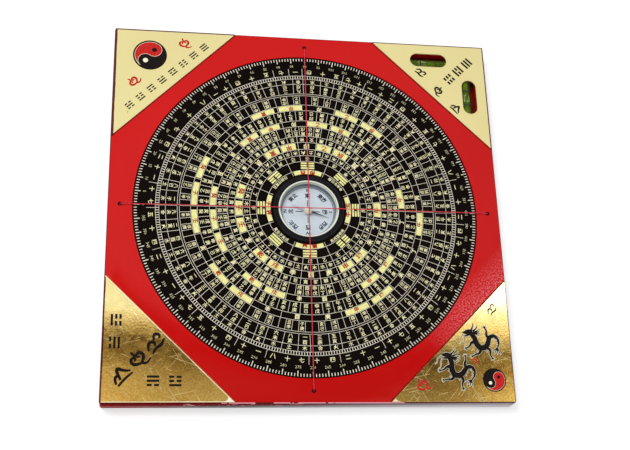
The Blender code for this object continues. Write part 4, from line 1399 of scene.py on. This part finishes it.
# Vials
# Clear plastic tubes of green liquid, closed by olive plugs and lying against the inner side of their
# pockets. Two black rings are painted round each tube, and a bubble floats at the top.
def soften(piece, width, steps):
    """Rounds the sharp edges of a piece and shades its round sides smooth."""
    modifier = piece.modifiers.new("soften", "BEVEL")
    modifier.width = width
    modifier.segments = steps
    modifier.limit_method = "ANGLE"
    modifier.angle_limit = smooth_angle
    modifier.harden_normals = False
    pick(piece)
    bpy.ops.object.modifier_apply(modifier="soften")
    bpy.ops.object.shade_smooth_by_angle(angle=smooth_angle)


olive_plug, tree, shader = mottled(
    "olive_plug", (140, 138, 40), 0.3, (400, 2), (124, 120, 30), (158, 156, 52)
)
tube_clear = clear("tube_clear", (232, 242, 210), 1.2, (104, 124, 30), 0.26)
ring_black, tree, shader = mottled("ring_black", (22, 24, 20), 0.5, (600, 2), (16, 18, 14), (34, 38, 28))

fill_radius = tube_radius - 0.55 * mm
film_radius = tube_radius - 0.49 * mm
fill_round = 0.4 * mm
film_bottom = 0.3 * mm
ring_spread = 4.4 * mm
ring_width = 0.6 * mm
ring_proud = 0.05 * mm
bubble_across = 1.9 * mm
greens = {"x": ((104, 160, 26), (30, 48, 10)), "y": ((104, 104, 44), (176, 168, 62))}
streak_stretch = {"x": (0.1, 1, 1), "y": (1, 0.1, 1)}
painted_highlight_tones = ((0.40, (70, 62, 40)), (0.5, (128, 118, 84)), (0.54, (250, 250, 246)))
for axis, (low, high) in slots.items():
    long_way = "xy".index(axis)
    middle = (low + high) / 2
    lying = Matrix.Rotation(math.pi / 2 * long_way, 4, "Z") @ Matrix.Rotation(math.pi / 2, 4, "Y")
    along_tube = Matrix.Translation(middle) @ lying

    liquid_low, liquid_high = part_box(f"vial_liquid_{axis}")
    fill_length = (liquid_high - liquid_low)[long_way]
    green_liquid, tree, shader = finish(f"green_liquid_{axis}", (96, 148, 28), 0.12, shine=0.3)
    from_middle = away(tree, whereabouts(tree)[long_way], tube_along)
    share = reckon(tree, "MULTIPLY", from_middle, 2 / fill_length)
    clouded = reckon(tree, "MULTIPLY_ADD", grain(tree, 260, 2), 0.16, reckon(tree, "SUBTRACT", share, 0.08))
    middle_green, end_green = greens[axis]
    colour_by(tree, shader, clouded, (0.1, middle_green), (0.5, (72, 112, 18)), (0.8, end_green))
    liquid = rod(f"green_fill_{axis}", fill_radius, -fill_length / 2, fill_length / 2, steps=40)
    soften(liquid, fill_round, 3)
    liquid.data.transform(along_tube)
    wear(liquid, green_liquid, "board")
    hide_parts(f"vial_liquid_{axis}")

    bubble_low, bubble_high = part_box(f"vial_bubble_{axis}")
    bubble_middle = (bubble_low + bubble_high) / 2
    bubble_half = (bubble_high - bubble_low)[long_way] / 2
    film = rod(f"bubble_film_{axis}", film_radius, -bubble_half, bubble_half, steps=64)
    film.data.transform(Matrix.Translation((*bubble_middle.xy, middle.z)) @ lying)
    outline = rod("bubble_outline", 1, middle.z + film_bottom, middle.z + 2 * tube_radius, steps=48)
    reach = (bubble_half, bubble_across) if axis == "x" else (bubble_across, bubble_half)
    outline.data.transform(Matrix.Translation((*bubble_middle.xy, 0)) @ Matrix.Diagonal((*reach, 1, 1)))
    cut(film, outline, "INTERSECT")
    bpy.ops.object.shade_smooth_by_angle(angle=smooth_angle)
    # The film is brown, with painted white highlight streaks, and is painted dark near its two ends as the
    # shade of the bubble's curved edges.
    bubble_film, tree, shader = finish(f"bubble_film_{axis}", (132, 108, 74), 0.08, shine=0.6)
    streaks = grain(tree, 800, 1, stretch=streak_stretch[axis])
    painted_highlight_streaks = colour_by(tree, shader, streaks, *painted_highlight_tones)
    off_middle = away(tree, whereabouts(tree)[long_way], bubble_middle[long_way])
    laid_over(tree, shader, painted_highlight_streaks, marked(tree, off_middle, bubble_half * 0.78), (34, 44, 14))
    wear(film, bubble_film, f"bubble_{axis}")
    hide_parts(f"vial_bubble_{axis}")

    bands = []
    for side in (-1, 1):
        start = side * ring_spread - ring_width / 2
        band = rod("band", tube_radius + ring_proud, start, start + ring_width, steps=40)
        bore = rod("bore", tube_radius, start - overrun, start + ring_width + overrun, steps=40)
        cut(band, bore)
        bands.append(set_aside(band))
    bands = joined(f"vial_rings_{axis}", bands)
    bands.data.transform(along_tube)
    wear(bands, ring_black, "board")
    dress(f"vial_tube_{axis}", tube_clear)
for plug in ("x_left", "x_right", "y_front", "y_back"):
    dress(f"vial_plug_{plug}", olive_plug)


# Threads
# Red nylon, two strands twisted together, drawn tight across the dial through the board and knotted in
# a well behind it. They rest nearly on the capsule's rim, where they cross.
thread_radius = 0.22 * mm
strand_radius = 0.17 * mm
strand_offset = 0.13 * mm
thread_gap = 0.2 * mm
bend_radius = 0.9 * mm
crossing_reach = 1.2 * mm
knot_radius = 1.1 * mm
lay_length = 1.3 * mm
clearance = 0.1 * mm
well_depth = 2.5 * mm
knot_height = well_depth - clearance - knot_radius
over_board = board_top + thread_gap + thread_radius
over_rim = capsule_high.z + thread_gap + thread_radius
over_thread = over_rim + 2 * thread_radius + clearance

red_nylon, tree, shader = mottled(
    "red_nylon", (208, 36, 62), 0.3, (900, 2), (192, 24, 50), (224, 54, 80), shine=0.5
)


def thread_route(crossing):
    """Half of a thread from its knot to the crossing, as (distance from the centre, height)."""
    route = [(hole_place, knot_height)]
    for step in range(9):
        angle = step * math.pi / 16
        along = hole_place - bend_radius + bend_radius * math.cos(angle)
        route.append((along, over_board - bend_radius + bend_radius * math.sin(angle)))
    route.append((capsule_high.x, over_rim))
    route.append((crossing_reach, crossing))
    return route


def evenly(route, spacing):
    """Points at that spacing along a line of straight stretches."""
    points = []
    for start, end in zip(route, route[1:]):
        steps = max(1, round((end - start).length / spacing))
        points += [start.lerp(end, step / steps) for step in range(steps)]
    return points + [route[-1]]


def swept(name, lines, radius):
    """Round strands along lines of points, as one closed mesh."""
    drawing = bpy.data.curves.new(name, "CURVE")
    drawing.dimensions = "3D"
    drawing.bevel_depth = radius
    drawing.bevel_resolution = 1
    drawing.use_fill_caps = True
    for points in lines:
        line = drawing.splines.new("POLY")
        line.points.add(len(points) - 1)
        for spot, place in zip(line.points, points):
            spot.co = (*place, 1)
    as_mesh(name, drawing)
    strands = settle(name)
    clean_up()
    bpy.ops.object.shade_smooth()
    return strands


for name, crossing, turn in (
    ("thread_left_right", over_rim, 0.0),
    ("thread_front_back", over_thread, math.pi / 2),
):
    half_route = [Vector((along, 0, height)) for along, height in thread_route(crossing)]
    route = half_route + [Vector((-spot.x, 0, spot.z)) for spot in reversed(half_route)]
    middle_line = evenly(route, lay_length / 8)
    strands = []
    for side in (0, math.pi):
        strand = []
        for index, spot in enumerate(middle_line):
            before = middle_line[max(index - 1, 0)]
            after = middle_line[min(index + 1, len(middle_line) - 1)]
            ahead = (after - before).normalized()
            across = Vector((0, 1, 0))
            angle = side + math.tau * index / 8
            aside = across * math.cos(angle) + ahead.cross(across) * math.sin(angle)
            strand.append(spot + aside * strand_offset)
        strands.append(strand)
    for side in (-1, 1):
        knot = []
        for step in range(49):
            angle = math.tau * step / 48
            reach = knot_radius * (0.52 + 0.27 * math.cos(3 * angle))
            place = (
                side * hole_place + reach * math.cos(2 * angle),
                reach * math.sin(2 * angle),
                knot_height + knot_radius * 0.45 * math.sin(3 * angle),
            )
            knot.append(Vector(place))
        strands.append(knot)
    thread = swept(f"red_{name}", strands, strand_radius)
    thread.data.transform(Matrix.Rotation(turn, 4, "Z"))
    wear(thread, red_nylon, "board")
    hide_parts(name)
